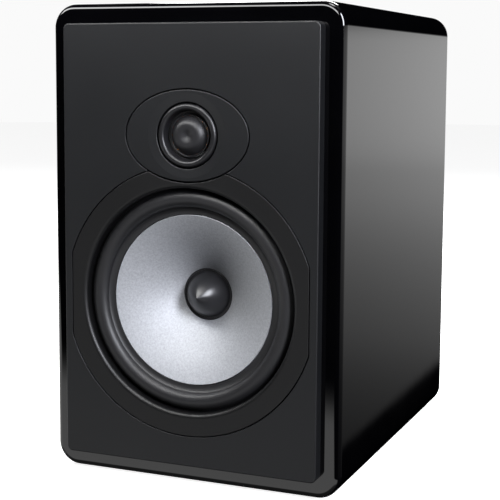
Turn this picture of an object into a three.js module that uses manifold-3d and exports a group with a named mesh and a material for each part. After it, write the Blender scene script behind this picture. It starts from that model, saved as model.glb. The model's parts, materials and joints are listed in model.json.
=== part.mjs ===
// Two-way bookshelf loudspeaker, built piece by piece as it would come apart on a bench.
// Units are millimetres. +Z is up, the front faces -Y, +X is to the right of someone facing the front.
// The origin is the centre of the footprint, on the surface that the rubber feet stand on.

import * as THREE from 'three';
import { mergeVertices } from 'three/addons/utils/BufferGeometryUtils.js';
import Module from 'manifold-3d';

const wasm = await Module();
wasm.setup();

// ---------------------------------------------------------------- driving dimensions

const WIDTH = 210;
const HEIGHT = 321;
const DEPTH = 265;
const FOOT_HEIGHT = 2;
const WALL = 15;
const CORNER_RADIUS = 16;
const GAP = 0.3;                 // glue line or clearance between neighbouring pieces

const PLATE_THICKNESS = 9;       // the face plate stands this far proud of the cabinet rim
const PLATE_MARGIN = 13.2;       // lacquered rim left round the face plate
const PLATE_CORNER = 4;
const BAFFLE_THICKNESS = 18;
const GROOVE = 0.5;              // hairline gap round the trim ring and the tweeter plate

const WOOFER_HEIGHT = 124.5;     // woofer axis above the cabinet's underside
const TRIM_RADIUS = 90.5;
const TRIM_FLAT = 86;            // the trim ring is cut straight at this distance on both sides
const TRIM_BORE = 75.5;
const CONE_RADIUS = 57.4;
const CONE_EDGE_Y = 0.5;
const CONE_DEPTH = 26.5;         // from the edge to the dust cap's seat
const CAP_RADIUS = 18.1;
const COIL_RADIUS = 13;
const BASKET_RADIUS = 80;

const TWEETER_HEIGHT = 234.6;
const OVAL_HALF_WIDTH = 44.3;
const OVAL_HALF_HEIGHT = 30.3;
const DOME_RADIUS = 14.2;
const DOME_COIL_RADIUS = 12.7;
const TWEETER_BODY_RADIUS = 24.2;

const PORT_HEIGHT = 226;
const PORT_BORE = 22;
const PORT_FLANGE_RADIUS = 40;
const PORT_LENGTH = 115;

const CUP_HEIGHT = 72;           // centre of the terminal cup above the cabinet's underside
const CUP_FLANGE = [98, 68];
const CUP_OUTSIDE = [82, 52];
const CUP_DEPTH = 26;
const POST_SPACING = 19;
const KNOB_RADIUS = 7.5;

// ---------------------------------------------------------------- places that follow from them

const RIM_Y = (PLATE_THICKNESS - DEPTH) / 2;      // front of the lacquered rim
const BACK_Y = RIM_Y + DEPTH;
const CABINET_BASE = FOOT_HEIGHT;
const CABINET_MIDDLE = CABINET_BASE + HEIGHT / 2;
const INSIDE_WIDTH = WIDTH - 2 * WALL;
const INSIDE_HEIGHT = HEIGHT - 2 * WALL;
const INSIDE_FLOOR = CABINET_BASE + WALL;
const BORE_SEGMENTS = 32;
const SMALL_SEGMENTS = 16;

// ---------------------------------------------------------------- finishes

const finish = (color, roughness, metalness = 0) => ({ color, roughness, metalness });
const LACQUER = finish('#0a0a0b', 0.06);
const FIBREBOARD = finish('#a98d68', 0.9);
const SATIN_PLASTIC = finish('#3b3b3d', 0.45);
const DARK_PLASTIC = finish('#232325', 0.4);
const BLACK_PLASTIC = finish('#151516', 0.5);
const RUBBER = finish('#2b2b2d', 0.6);
const SILVER_CONE = finish('#b4b5b9', 0.45, 0.3);
const SOFT_DOME = finish('#3a3a3d', 0.4);
const CAST_METAL = finish('#3a3b3d', 0.6, 0.8);
const STEEL = finish('#8d8f92', 0.35, 1);
const FERRITE = finish('#2c2c2e', 0.7);
const COPPER = finish('#b0683c', 0.35, 1);
const GILT = finish('#c9a24a', 0.25, 1);
const BROWN_CLOTH = finish('#8a6a3a', 0.9);
const WADDING = finish('#d8d6cf', 1);
const HARDBOARD = finish('#6b4a2f', 0.8);
const RED_PLASTIC = finish('#a01818', 0.35);
const GREY_CERAMIC = finish('#c9c7c0', 0.7);
const RED_WIRE = finish('#8c1f1f', 0.5);

// ---------------------------------------------------------------- making solids

const point = (x, y) => new THREE.Vector2(x, y);

// A closed outline turned about the Y axis. Points are [radius, y]; a ring's outline closes on itself.
function turned(outline, segments = BORE_SEGMENTS) {
  const points = outline.map(([radius, y]) => point(radius, y));
  const onAxis = outline[0][0] === 0 && outline.at(-1)[0] === 0;
  if (THREE.ShapeUtils.isClockWise(points)) points.reverse();
  if (!onAxis) points.push(points[0].clone());
  return new THREE.LatheGeometry(points, segments);
}

// A plain ring or, with no bore, a disc, from one y to another.
function ring(bore, radius, y0, y1, segments) {
  return turned([[bore, y0], [radius, y0], [radius, y1], [bore, y1]], segments);
}

// A flat outline in X and Z, made solid between two y values.
function slab(shape, y0, y1, curveSegments = BORE_SEGMENTS / 2) {
  const depth = y1 - y0;
  const geometry = new THREE.ExtrudeGeometry(shape, { depth, bevelEnabled: false, curveSegments });
  return geometry.rotateX(Math.PI / 2).translate(0, y1, 0);
}

function rectangle(width, height, corner = 0) {
  const shape = new THREE.Shape();
  const x = width / 2;
  const z = height / 2;
  if (corner === 0) {
    return shape.setFromPoints([point(-x, -z), point(x, -z), point(x, z), point(-x, z)]);
  }
  shape.absarc(x - corner, z - corner, corner, 0, Math.PI / 2);
  shape.absarc(corner - x, z - corner, corner, Math.PI / 2, Math.PI);
  shape.absarc(corner - x, corner - z, corner, Math.PI, 1.5 * Math.PI);
  shape.absarc(x - corner, corner - z, corner, 1.5 * Math.PI, 2 * Math.PI);
  return shape;
}

function ellipse(halfWidth, halfHeight) {
  return new THREE.Shape().absellipse(0, 0, halfWidth, halfHeight, 0, 2 * Math.PI);
}

// A round tube of one thickness along a smooth curve through the given places.
function tube(places, radius, steps, sides = 8) {
  const path = new THREE.CatmullRomCurve3(places.map((place) => new THREE.Vector3(...place)));
  const section = new THREE.Shape().absarc(0, 0, radius, 0, 2 * Math.PI);
  return new THREE.ExtrudeGeometry(section, { extrudePath: path, steps, curveSegments: sides / 2 });
}

function toSolid(geometry) {
  const bare = geometry.clone();
  bare.deleteAttribute('normal');
  bare.deleteAttribute('uv');
  const merged = mergeVertices(bare);
  const vertProperties = new Float32Array(merged.attributes.position.array);
  const triVerts = new Uint32Array(merged.index.array);
  return new wasm.Manifold(new wasm.Mesh({ numProp: 3, vertProperties, triVerts }));
}

function fromSolid(solid) {
  const mesh = solid.getMesh();
  const geometry = new THREE.BufferGeometry();
  geometry.setAttribute('position', new THREE.BufferAttribute(mesh.vertProperties, 3));
  geometry.setIndex(new THREE.BufferAttribute(mesh.triVerts, 1));
  return geometry;
}

function cut(geometry, ...tools) {
  return fromSolid(tools.reduce((solid, tool) => solid.subtract(toSolid(tool)), toSolid(geometry)));
}

function join(geometry, ...others) {
  return fromSolid(others.reduce((solid, other) => solid.add(toSolid(other)), toSolid(geometry)));
}

function piece(name, geometry, look) {
  const mesh = new THREE.Mesh(geometry, new THREE.MeshStandardMaterial(look));
  mesh.name = name;
  return mesh;
}

function groupAt(x, y, z) {
  const group = new THREE.Group();
  group.position.set(x, y, z);
  return group;
}

// ---------------------------------------------------------------- cabinet

// One wall with mitred ends: its outer face is at z = 0, and each end carries half of a rounded corner.
function mitredWall(span) {
  const mitreShift = GAP / Math.SQRT2;
  const arcX = span / 2 - CORNER_RADIUS - mitreShift;
  const insideX = span / 2 - WALL - mitreShift;
  const shape = new THREE.Shape();
  shape.absarc(arcX, -CORNER_RADIUS, CORNER_RADIUS, Math.PI / 4, Math.PI / 2);
  shape.absarc(-arcX, -CORNER_RADIUS, CORNER_RADIUS, Math.PI / 2, 0.75 * Math.PI);
  shape.lineTo(-insideX, -WALL);
  shape.lineTo(insideX, -WALL);
  return slab(shape, RIM_Y, BACK_Y, 6);
}

function cabinetWalls() {
  const walls = groupAt(0, 0, CABINET_MIDDLE);
  const sides = [
    ['cabinet_top', WIDTH, 0, [0, HEIGHT / 2]],
    ['cabinet_right_side', HEIGHT, Math.PI / 2, [WIDTH / 2, 0]],
    ['cabinet_bottom', WIDTH, Math.PI, [0, -HEIGHT / 2]],
    ['cabinet_left_side', HEIGHT, -Math.PI / 2, [-WIDTH / 2, 0]],
  ];
  for (const [name, span, turn, [x, z]] of sides) {
    const wall = piece(name, mitredWall(span), LACQUER);
    wall.rotation.y = turn;
    wall.position.set(x, 0, z);
    walls.add(wall);
  }
  return walls;
}

function frontBaffle() {
  const board = slab(rectangle(INSIDE_WIDTH - 2 * GAP, INSIDE_HEIGHT - 2 * GAP), 0, BAFFLE_THICKNESS);
  const through = [-1, BAFFLE_THICKNESS + 1];
  const wooferHole = ring(0, BASKET_RADIUS - 5, ...through);
  const wooferRebate = ring(0, BASKET_RADIUS + GAP, -1, 4.4);
  const tweeterHole = ring(0, TWEETER_BODY_RADIUS + GAP, ...through);
  const lift = (geometry, height) => geometry.translate(0, 0, CABINET_BASE + height - CABINET_MIDDLE);
  const baffle = piece(
    'front_baffle',
    cut(
      board,
      lift(wooferHole, WOOFER_HEIGHT),
      lift(wooferRebate, WOOFER_HEIGHT),
      lift(tweeterHole, TWEETER_HEIGHT),
    ),
    FIBREBOARD,
  );
  baffle.position.set(0, RIM_Y, CABINET_MIDDLE);
  return baffle;
}

function rearPanel() {
  const board = slab(rectangle(INSIDE_WIDTH - 2 * GAP, INSIDE_HEIGHT - 2 * GAP), -WALL, 0);
  const portZ = CABINET_BASE + PORT_HEIGHT - CABINET_MIDDLE;
  const cupZ = CABINET_BASE + CUP_HEIGHT - CABINET_MIDDLE;
  const portHole = ring(0, PORT_BORE + 11, -WALL - 1, 1).translate(0, 0, portZ);
  const portRebate = ring(0, PORT_FLANGE_RADIUS + GAP, -3.3, 1).translate(0, 0, portZ);
  const [flangeWidth, flangeHeight] = CUP_FLANGE;
  const [cupWidth, cupHeight] = CUP_OUTSIDE;
  const clear = 2 * GAP;
  const cupHole = slab(rectangle(cupWidth + clear, cupHeight + clear), -WALL - 1, 1).translate(0, 0, cupZ);
  const rebateShape = rectangle(flangeWidth + clear, flangeHeight + clear, 8);
  const cupRebate = slab(rebateShape, -2.8, 1, 5).translate(0, 0, cupZ);
  const panel = piece('rear_panel', cut(board, portHole, portRebate, cupHole, cupRebate), BLACK_PLASTIC);
  panel.position.set(0, BACK_Y, CABINET_MIDDLE);
  return panel;
}

function feet() {
  const group = new THREE.Group();
  const radius = 7;
  const insetX = WIDTH / 2 - 28;
  const insetY = DEPTH / 2 - 30;
  const middleY = (RIM_Y + BACK_Y) / 2;
  for (const [name, x, y] of [
    ['foot_front_left', -insetX, -insetY], ['foot_front_right', insetX, -insetY],
    ['foot_rear_left', -insetX, insetY], ['foot_rear_right', insetX, insetY],
  ]) {
    const foot = piece(name, ring(0, radius, 0, FOOT_HEIGHT - 0.05, SMALL_SEGMENTS), RUBBER);
    foot.rotation.x = Math.PI / 2;
    foot.position.set(x, middleY + y, 0);
    group.add(foot);
  }
  return group;
}

function dampingLining() {
  const group = new THREE.Group();
  const thickness = 12;
  const [y0, y1] = [RIM_Y + 90, BACK_Y - WALL - 8];
  const depth = y1 - y0;
  const height = INSIDE_HEIGHT - 90;
  const middleZ = INSIDE_FLOOR + 50 + height / 2;
  const sideX = INSIDE_WIDTH / 2 - thickness / 2 - GAP;
  for (const [name, x] of [['damping_pad_left', -sideX], ['damping_pad_right', sideX]]) {
    const pad = piece(name, new THREE.BoxGeometry(thickness, depth, height), WADDING);
    pad.position.set(x, (y0 + y1) / 2, middleZ);
    group.add(pad);
  }
  const topWidth = INSIDE_WIDTH - 2 * thickness - 20;
  const top = piece('damping_pad_top', new THREE.BoxGeometry(topWidth, depth, thickness), WADDING);
  top.position.set(0, (y0 + y1) / 2, INSIDE_FLOOR + INSIDE_HEIGHT - thickness / 2 - GAP);
  group.add(top);
  return group;
}

// ---------------------------------------------------------------- face plate and trim

// A disc with its left and right sides cut straight.
function flattedDisc(radius, flat) {
  const half = Math.acos(flat / radius);
  const shape = new THREE.Shape();
  shape.absarc(0, 0, radius, half, Math.PI - half);
  shape.absarc(0, 0, radius, Math.PI + half, 2 * Math.PI - half);
  return shape;
}

function facePlate() {
  const width = WIDTH - 2 * PLATE_MARGIN;
  const height = HEIGHT - 2 * PLATE_MARGIN;
  const plate = slab(rectangle(width, height, PLATE_CORNER), -PLATE_THICKNESS, 0, 3);
  const through = [-PLATE_THICKNESS - 1, 1];
  const wooferZ = CABINET_BASE + WOOFER_HEIGHT - CABINET_MIDDLE;
  const tweeterZ = CABINET_BASE + TWEETER_HEIGHT - CABINET_MIDDLE;
  const trimHole = slab(flattedDisc(TRIM_RADIUS + GROOVE, TRIM_FLAT + GROOVE), ...through);
  const ovalHole = slab(ellipse(OVAL_HALF_WIDTH + GROOVE, OVAL_HALF_HEIGHT + GROOVE), ...through);
  const mesh = piece(
    'face_plate',
    cut(plate, trimHole.translate(0, 0, wooferZ), ovalHole.translate(0, 0, tweeterZ)),
    SATIN_PLASTIC,
  );
  mesh.position.set(0, RIM_Y, CABINET_MIDDLE);
  return mesh;
}

function wooferTrimRing() {
  const lip = 3;
  const back = -GAP;
  const disc = slab(flattedDisc(TRIM_RADIUS, TRIM_FLAT), -PLATE_THICKNESS, back);
  const bore = turned([
    [0, -PLATE_THICKNESS - 1], [TRIM_BORE + lip + 1, -PLATE_THICKNESS - 1],
    [TRIM_BORE + lip, -PLATE_THICKNESS], [TRIM_BORE + lip / 3, -PLATE_THICKNESS + lip / 3],
    [TRIM_BORE, -PLATE_THICKNESS + lip], [TRIM_BORE, 1], [0, 1],
  ]);
  const ovalShape = ellipse(OVAL_HALF_WIDTH + GROOVE, OVAL_HALF_HEIGHT + GROOVE);
  const oval = slab(ovalShape, -PLATE_THICKNESS - 1, 1).translate(0, 0, TWEETER_HEIGHT - WOOFER_HEIGHT);
  return piece('woofer_trim_ring', cut(disc, bore, oval), DARK_PLASTIC);
}

// ---------------------------------------------------------------- woofer

// Depth of the cone's front surface at a radius: shallow at the edge, steep at the neck.
function coneY(radius) {
  const inward = (CONE_RADIUS - radius) / (CONE_RADIUS - CAP_RADIUS);
  return CONE_EDGE_Y + CONE_DEPTH * (0.62 * inward + 0.38 * inward ** 2);
}

function wooferCone() {
  const thickness = 1;
  const neck = COIL_RADIUS + 0.6;
  const rings = 6;
  const front = [];
  for (let i = 0; i <= rings; i += 1) {
    const radius = CONE_RADIUS + (neck - CONE_RADIUS) * (i / rings);
    front.push([radius, coneY(radius)]);
  }
  const back = front.map(([radius, y]) => [radius, y + thickness]).reverse();
  return piece('woofer_cone', turned([...front, ...back], 36), SILVER_CONE);
}

function wooferDustCap() {
  const nose = CAP_RADIUS - 1.3;
  const rise = 19;
  const thickness = 0.8;
  const seat = coneY(CAP_RADIUS) - GAP;
  const point = 0.6;
  const rings = 6;
  // A pointed bullet: steep at its rim and drawn to a tip in front.
  const bullet = (height, radius) => {
    const points = [];
    for (let i = 0; i <= rings; i += 1) {
      const share = i / rings;
      points.push([radius * share, seat - thickness - height * (1 - point * share - (1 - point) * share ** 3)]);
    }
    return points;
  };
  const outside = bullet(rise, nose);
  const inside = bullet(rise - thickness, nose - thickness).map(([radius, y]) => [radius, y + thickness]);
  const flange = [[CAP_RADIUS, seat - thickness], [CAP_RADIUS, seat]];
  outside[0][0] = 0;
  inside[0][0] = 0;
  return piece('woofer_dust_cap', turned([...outside, ...flange, ...inside.reverse()], 24), DARK_PLASTIC);
}

function wooferSurround() {
  const inner = CONE_RADIUS + GAP;
  const outer = BASKET_RADIUS - 0.5;
  const thickness = 0.8;
  const rollMiddle = 68.25;
  const rollRadius = 5.25;
  const roll = (radius, y, from, to) => {
    const points = [];
    for (let i = 0; i <= 6; i += 1) {
      const angle = from + (to - from) * (i / 6);
      points.push([rollMiddle + radius * Math.cos(angle), y - radius * Math.sin(angle)]);
    }
    return points;
  };
  const front = roll(rollRadius + thickness / 2, 0, Math.PI, 0);
  const back = roll(rollRadius - thickness / 2, thickness, 0, Math.PI);
  const outline = [[inner, 0], ...front, [outer, 0], [outer, thickness], ...back, [inner, thickness]];
  return piece('woofer_surround', turned(outline), RUBBER);
}

function wooferVoiceCoil() {
  const outline = [
    [COIL_RADIUS - 0.4, 29], [COIL_RADIUS, 29], [COIL_RADIUS, 54], [COIL_RADIUS + 0.8, 54],
    [COIL_RADIUS + 0.8, 66], [COIL_RADIUS - 0.4, 66],
  ];
  return piece('woofer_voice_coil', turned(outline, SMALL_SEGMENTS), COPPER);
}

// The spider: a pleated cloth disc that keeps the coil centred in the magnet's gap.
function wooferSpider() {
  const [inner, outer, middleY, thickness, pleats] = [COIL_RADIUS + 1.2, 42, 40, 0.6, 6];
  const front = [];
  for (let i = 0; i <= pleats; i += 1) {
    const radius = inner + (outer - inner) * (i / pleats);
    front.push([radius, middleY + (i % 2 === 0 ? 0.8 : -0.8)]);
  }
  const back = front.map(([radius, y]) => [radius, y + thickness]).reverse();
  return piece('woofer_spider', turned([...front, ...back], 24), BROWN_CLOTH);
}

function wooferBasket() {
  const wall = 2.4;
  const shell = turned([
    [BASKET_RADIUS, 1.1], [BASKET_RADIUS, 4.1], [73, 4.1], [50, 37], [50, 44], [40, 46],
    [40, 56], [17, 56], [17, 56 - wall], [40 - wall, 56 - wall], [40 - wall, 43.6],
    [44, 42], [50 - wall, 41], [50 - wall, 36], [73 - wall, 4.1], [73 - wall, 1.1],
  ]);
  const window = new THREE.Shape([point(-11, 9), point(11, 9), point(7, 33), point(-7, 33)]);
  const windows = [];
  for (let i = 0; i < 6; i += 1) {
    // The window's outline is drawn in X and Y and pushed outwards through the sloping wall.
    const opening = new THREE.ExtrudeGeometry(window, { depth: 60, bevelEnabled: false });
    windows.push(opening.translate(0, 0, 30).rotateY(i * (Math.PI / 3)));
  }
  return piece('woofer_basket', cut(shell, ...windows), CAST_METAL);
}

function wooferMotor() {
  const group = new THREE.Group();
  const pole = COIL_RADIUS - 0.9;
  const yoke = turned([
    [3.5, 56.5], [pole, 56.5], [pole, 79.5], [46, 79.5], [46, 85.5], [3.5, 85.5],
  ], 24);
  group.add(piece('woofer_top_plate', ring(COIL_RADIUS + 1.3, 45, 56.3, 62.3, 24), STEEL));
  group.add(piece('woofer_magnet', ring(22, 50, 62.6, 79.2, 24), FERRITE));
  group.add(piece('woofer_yoke', yoke, STEEL));
  return group;
}

function wooferTerminals() {
  const group = new THREE.Group();
  const stripHeight = 12;
  const stripY = 39;
  const stripZ = -50.4 - stripHeight / 2;
  const strip = piece('woofer_terminal_strip', new THREE.BoxGeometry(30, 1.6, stripHeight), GREY_CERAMIC);
  strip.position.set(0, stripY, stripZ);
  group.add(strip);
  for (const [name, side] of [['woofer_tinsel_lead_left', -1], ['woofer_tinsel_lead_right', 1]]) {
    // From just behind the cone, out through a window of the basket, to beside the strip's outer edge.
    const coneEnd = [side * 4, coneY(36) + 3.4, -34];
    const throughWindow = [side * 5, 22, -58];
    const bend = [side * 5, 31, stripZ - stripHeight / 2 - 3];
    const stripEnd = [side * 5, stripY, stripZ - stripHeight / 2 - 1.2];
    group.add(piece(name, tube([coneEnd, throughWindow, bend, stripEnd], 0.7, 10, 6), COPPER));
  }
  return group;
}

function woofer() {
  const group = groupAt(0, RIM_Y, CABINET_BASE + WOOFER_HEIGHT);
  group.add(wooferTrimRing(), wooferBasket(), wooferSurround(), wooferSpider());
  group.add(wooferCone(), wooferDustCap(), wooferVoiceCoil());
  group.add(wooferMotor(), wooferTerminals());
  return group;
}

// ---------------------------------------------------------------- tweeter

function tweeterFaceplate() {
  const bore = DOME_RADIUS + 7.8;
  const back = -3;
  const plate = slab(ellipse(OVAL_HALF_WIDTH, OVAL_HALF_HEIGHT), -PLATE_THICKNESS, back);
  const dish = turned([
    [0, -PLATE_THICKNESS - 1], [bore + 6, -PLATE_THICKNESS - 1], [bore + 6, -PLATE_THICKNESS],
    [bore, -PLATE_THICKNESS + 1], [bore, 0], [0, 0],
  ]);
  return piece('tweeter_faceplate', cut(plate, dish), SATIN_PLASTIC);
}

function tweeterLipRing() {
  const [inner, outer, back] = [DOME_RADIUS + 1.7, DOME_RADIUS + 6.7, -3];
  const outline = [
    [inner, back], [inner, -5.5], [inner + 1, -7.9], [inner + 2.7, -PLATE_THICKNESS],
    [outer - 0.9, -8.2], [outer, -6.5], [outer, back],
  ];
  return piece('tweeter_lip_ring', turned(outline), SATIN_PLASTIC);
}

function tweeterChassis() {
  const outline = [
    [DOME_RADIUS + 0.6, -2.7], [29, -2.7], [29, -0.7], [TWEETER_BODY_RADIUS, -0.7],
    [TWEETER_BODY_RADIUS, 14], [TWEETER_BODY_RADIUS - 1.6, 14], [TWEETER_BODY_RADIUS - 1.6, -0.7],
    [DOME_RADIUS + 0.6, -0.7],
  ];
  return piece('tweeter_chassis', turned(outline), BLACK_PLASTIC);
}

// A soft dome with a small dimple at its centre and a flat glued edge.
function tweeterDome() {
  const thickness = 0.5;
  const front = [
    [0, -7], [2, -7.6], [4, -8.4], [6.5, -8.8], [9, -8.2], [11.5, -6.2], [12.8, -4.5], [DOME_RADIUS, -4],
  ];
  const back = front.map(([radius, y]) => [radius, y + thickness]).reverse();
  return piece('tweeter_dome', turned([...front, ...back], 24), SOFT_DOME);
}

function tweeterMotor() {
  const group = new THREE.Group();
  const body = TWEETER_BODY_RADIUS - 1.9;
  const pole = DOME_COIL_RADIUS - 0.7;
  const yoke = turned([[0, -0.4], [pole, -0.4], [pole, 10.2], [body, 10.2], [body, 14], [0, 14]], 24);
  const chamberRadius = body - 0.6;
  const chamber = turned([
    [0, 36], [chamberRadius, 36], [chamberRadius, 14.3], [chamberRadius - 1.6, 14.3],
    [chamberRadius - 1.6, 34.4], [0, 34.4],
  ], SMALL_SEGMENTS);
  const coil = ring(DOME_COIL_RADIUS - 0.4, DOME_COIL_RADIUS + 0.4, -3.4, 2.5, SMALL_SEGMENTS);
  group.add(piece('tweeter_voice_coil', coil, COPPER));
  group.add(piece('tweeter_top_plate', ring(DOME_COIL_RADIUS + 0.9, body, -0.4, 2.6, 24), STEEL));
  group.add(piece('tweeter_magnet', ring(DOME_COIL_RADIUS + 2.3, body, 2.9, 9.9, 24), FERRITE));
  group.add(piece('tweeter_yoke', yoke, STEEL));
  group.add(piece('tweeter_rear_chamber', chamber, BLACK_PLASTIC));
  return group;
}

function tweeter() {
  const group = groupAt(0, RIM_Y, CABINET_BASE + TWEETER_HEIGHT);
  group.add(tweeterFaceplate(), tweeterLipRing(), tweeterChassis(), tweeterDome(), tweeterMotor());
  return group;
}

// ---------------------------------------------------------------- bass port

function bassPort() {
  const group = groupAt(0, BACK_Y, CABINET_BASE + PORT_HEIGHT);
  const wall = 2.5;
  const mouth = PORT_BORE + 11;
  const socket = PORT_BORE + wall + GAP;
  const flange = turned([
    [mouth, 0], [PORT_FLANGE_RADIUS, 0], [PORT_FLANGE_RADIUS, -3], [mouth - 0.5, -3], [socket + 2.5, -14],
    [socket + 2.5, -34], [socket, -34], [socket, -20], [PORT_BORE, -20], [PORT_BORE + 1.2, -13],
    [PORT_BORE + 4, -6],
  ]);
  const innerEnd = -PORT_LENGTH;
  const tubeOutline = [
    [PORT_BORE, -20 - GAP], [PORT_BORE + wall, -20 - GAP], [PORT_BORE + wall, innerEnd + 14],
    [PORT_BORE + wall + 7, innerEnd], [PORT_BORE + 7, innerEnd], [PORT_BORE + 2, innerEnd + 7],
    [PORT_BORE, innerEnd + 14],
  ];
  group.add(piece('port_flange', flange, BLACK_PLASTIC));
  group.add(piece('port_tube', turned(tubeOutline), BLACK_PLASTIC));
  return group;
}

// ---------------------------------------------------------------- terminal cup and binding posts

function terminalCup() {
  const [flangeWidth, flangeHeight] = CUP_FLANGE;
  const [cupWidth, cupHeight] = CUP_OUTSIDE;
  const wall = 2.5;
  const floor = -CUP_DEPTH;
  const flange = slab(rectangle(flangeWidth, flangeHeight, 8), -2.5, 0, 5);
  const tub = slab(rectangle(cupWidth, cupHeight), floor - 3, -1);
  const hollow = slab(rectangle(cupWidth - 2 * wall, cupHeight - 2 * wall), floor, 1);
  const holes = [-1, 1].map((side) => {
    const hole = ring(0, 3.4, floor - 4, floor + 1, SMALL_SEGMENTS);
    return hole.translate(side * (POST_SPACING / 2), 0, 0);
  });
  return piece('terminal_cup', cut(join(flange, tub), hollow, ...holes), BLACK_PLASTIC);
}

// One binding post: a hollow threaded stud, an insulating collar on the cup's floor, a clamp washer,
// the knob that runs on the thread, and the nut behind the floor.
function bindingPost(colour, side, knobLook) {
  const group = groupAt(side * (POST_SPACING / 2), 0, 0);
  const floor = -CUP_DEPTH;
  const stud = turned([
    [0, floor - 14], [3, floor - 14], [3, -6], [2, -6], [2, -20], [0, -20],
  ], SMALL_SEGMENTS);
  const knobTop = -5.2;
  const knob = turned([
    [3.4, floor + 5.9], [KNOB_RADIUS, floor + 5.9], [KNOB_RADIUS, knobTop - 1],
    [KNOB_RADIUS - 1, knobTop], [3.4, knobTop],
  ], SMALL_SEGMENTS);
  const hexagon = ring(0, 5.8, floor - 3.3 - 3, floor - 3.3, 6);
  const nut = cut(hexagon, ring(0, 3.3, floor - 8, floor, SMALL_SEGMENTS));
  group.add(piece(`post_stud_${colour}`, stud, GILT));
  group.add(piece(`post_collar_${colour}`, ring(3.4, 8, floor + GAP, floor + 3, SMALL_SEGMENTS), knobLook));
  group.add(piece(`post_washer_${colour}`, ring(3.5, 6.6, floor + 4.4, floor + 5.6, SMALL_SEGMENTS), GILT));
  group.add(piece(`post_knob_${colour}`, knob, knobLook));
  group.add(piece(`post_nut_${colour}`, nut, GILT));
  return group;
}

function terminals() {
  const group = groupAt(0, BACK_Y, CABINET_BASE + CUP_HEIGHT);
  group.add(terminalCup());
  group.add(bindingPost('red', 1, RED_PLASTIC), bindingPost('black', -1, BLACK_PLASTIC));
  return group;
}

// ---------------------------------------------------------------- crossover and wiring

function coilOnBoard(name, bore, radius, height, x, y) {
  const coil = piece(name, ring(bore, radius, 0, height, SMALL_SEGMENTS), COPPER);
  coil.rotation.x = Math.PI / 2;
  coil.position.set(x, y, GAP);
  return coil;
}

function capacitor(name, radius, length, x, y, look) {
  const can = piece(name, ring(0, radius, -length / 2, length / 2, SMALL_SEGMENTS), look);
  can.position.set(x, y, radius + GAP);
  return can;
}

function resistor(name, x, y) {
  const block = piece(name, new THREE.BoxGeometry(25, 10, 9), GREY_CERAMIC);
  block.position.set(x, y, 4.5 + GAP);
  return block;
}

function crossover() {
  const thickness = 3;
  const group = groupAt(0, 35, INSIDE_FLOOR + GAP + thickness);
  const board = piece('crossover_board', new THREE.BoxGeometry(110, 120, thickness), HARDBOARD);
  board.position.z = -thickness / 2;
  group.add(board);
  group.add(coilOnBoard('crossover_coil_woofer', 9, 21, 18, -28, -32));
  group.add(coilOnBoard('crossover_coil_tweeter', 7, 15, 12, 32, -38));
  group.add(capacitor('crossover_capacitor_woofer', 9, 40, -36, 24, BLACK_PLASTIC));
  group.add(capacitor('crossover_capacitor_tweeter', 8, 32, 38, 20, RED_PLASTIC));
  group.add(resistor('crossover_resistor_woofer', 2, 2));
  group.add(resistor('crossover_resistor_tweeter', 2, 22));
  return group;
}

function wiring() {
  const group = new THREE.Group();
  const boardTop = INSIDE_FLOOR + GAP + 3;
  const wooferZ = CABINET_BASE + WOOFER_HEIGHT;
  const tweeterZ = CABINET_BASE + TWEETER_HEIGHT;
  const cupZ = CABINET_BASE + CUP_HEIGHT;
  const studY = BACK_Y - CUP_DEPTH - 14;
  const leads = {
    lead_woofer: [
      [0, -15, boardTop + 2.5], [0, -40, boardTop + 8], [0, -66, wooferZ - 80], [0, RIM_Y + 42.6, wooferZ - 58],
    ],
    lead_tweeter: [
      [60, 15, boardTop + 2.5], [68, -5, boardTop + 20], [66, -10, 130], [50, -30, tweeterZ - 20],
      [8, RIM_Y + 50, tweeterZ], [0, RIM_Y + 38.5, tweeterZ],
    ],
    lead_input: [
      [2, 80, boardTop + 2.5], [2, 92, boardTop + 12], [2, studY - 8, cupZ - 20], [0, studY - 3.5, cupZ],
    ],
  };
  for (const [name, places] of Object.entries(leads)) {
    group.add(piece(name, tube(places, 2, 18), RED_WIRE));
  }
  return group;
}

// ---------------------------------------------------------------- the whole loudspeaker

const speaker = new THREE.Group();
speaker.add(cabinetWalls(), frontBaffle(), rearPanel(), feet(), dampingLining());
speaker.add(facePlate(), woofer(), tweeter(), bassPort(), terminals(), crossover(), wiring());

export default speaker;
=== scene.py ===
"""A two-way bookshelf loudspeaker: lacquered cabinet, face plate, woofer, tweeter, bass port and terminals.

Everything is in metres in the CAD frame: +Z is up, the front faces -Y and +X is to the right of someone
facing the front. Depths in an outline run from the front of the cabinet's rim or from its back.
"""

import json
import math

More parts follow.
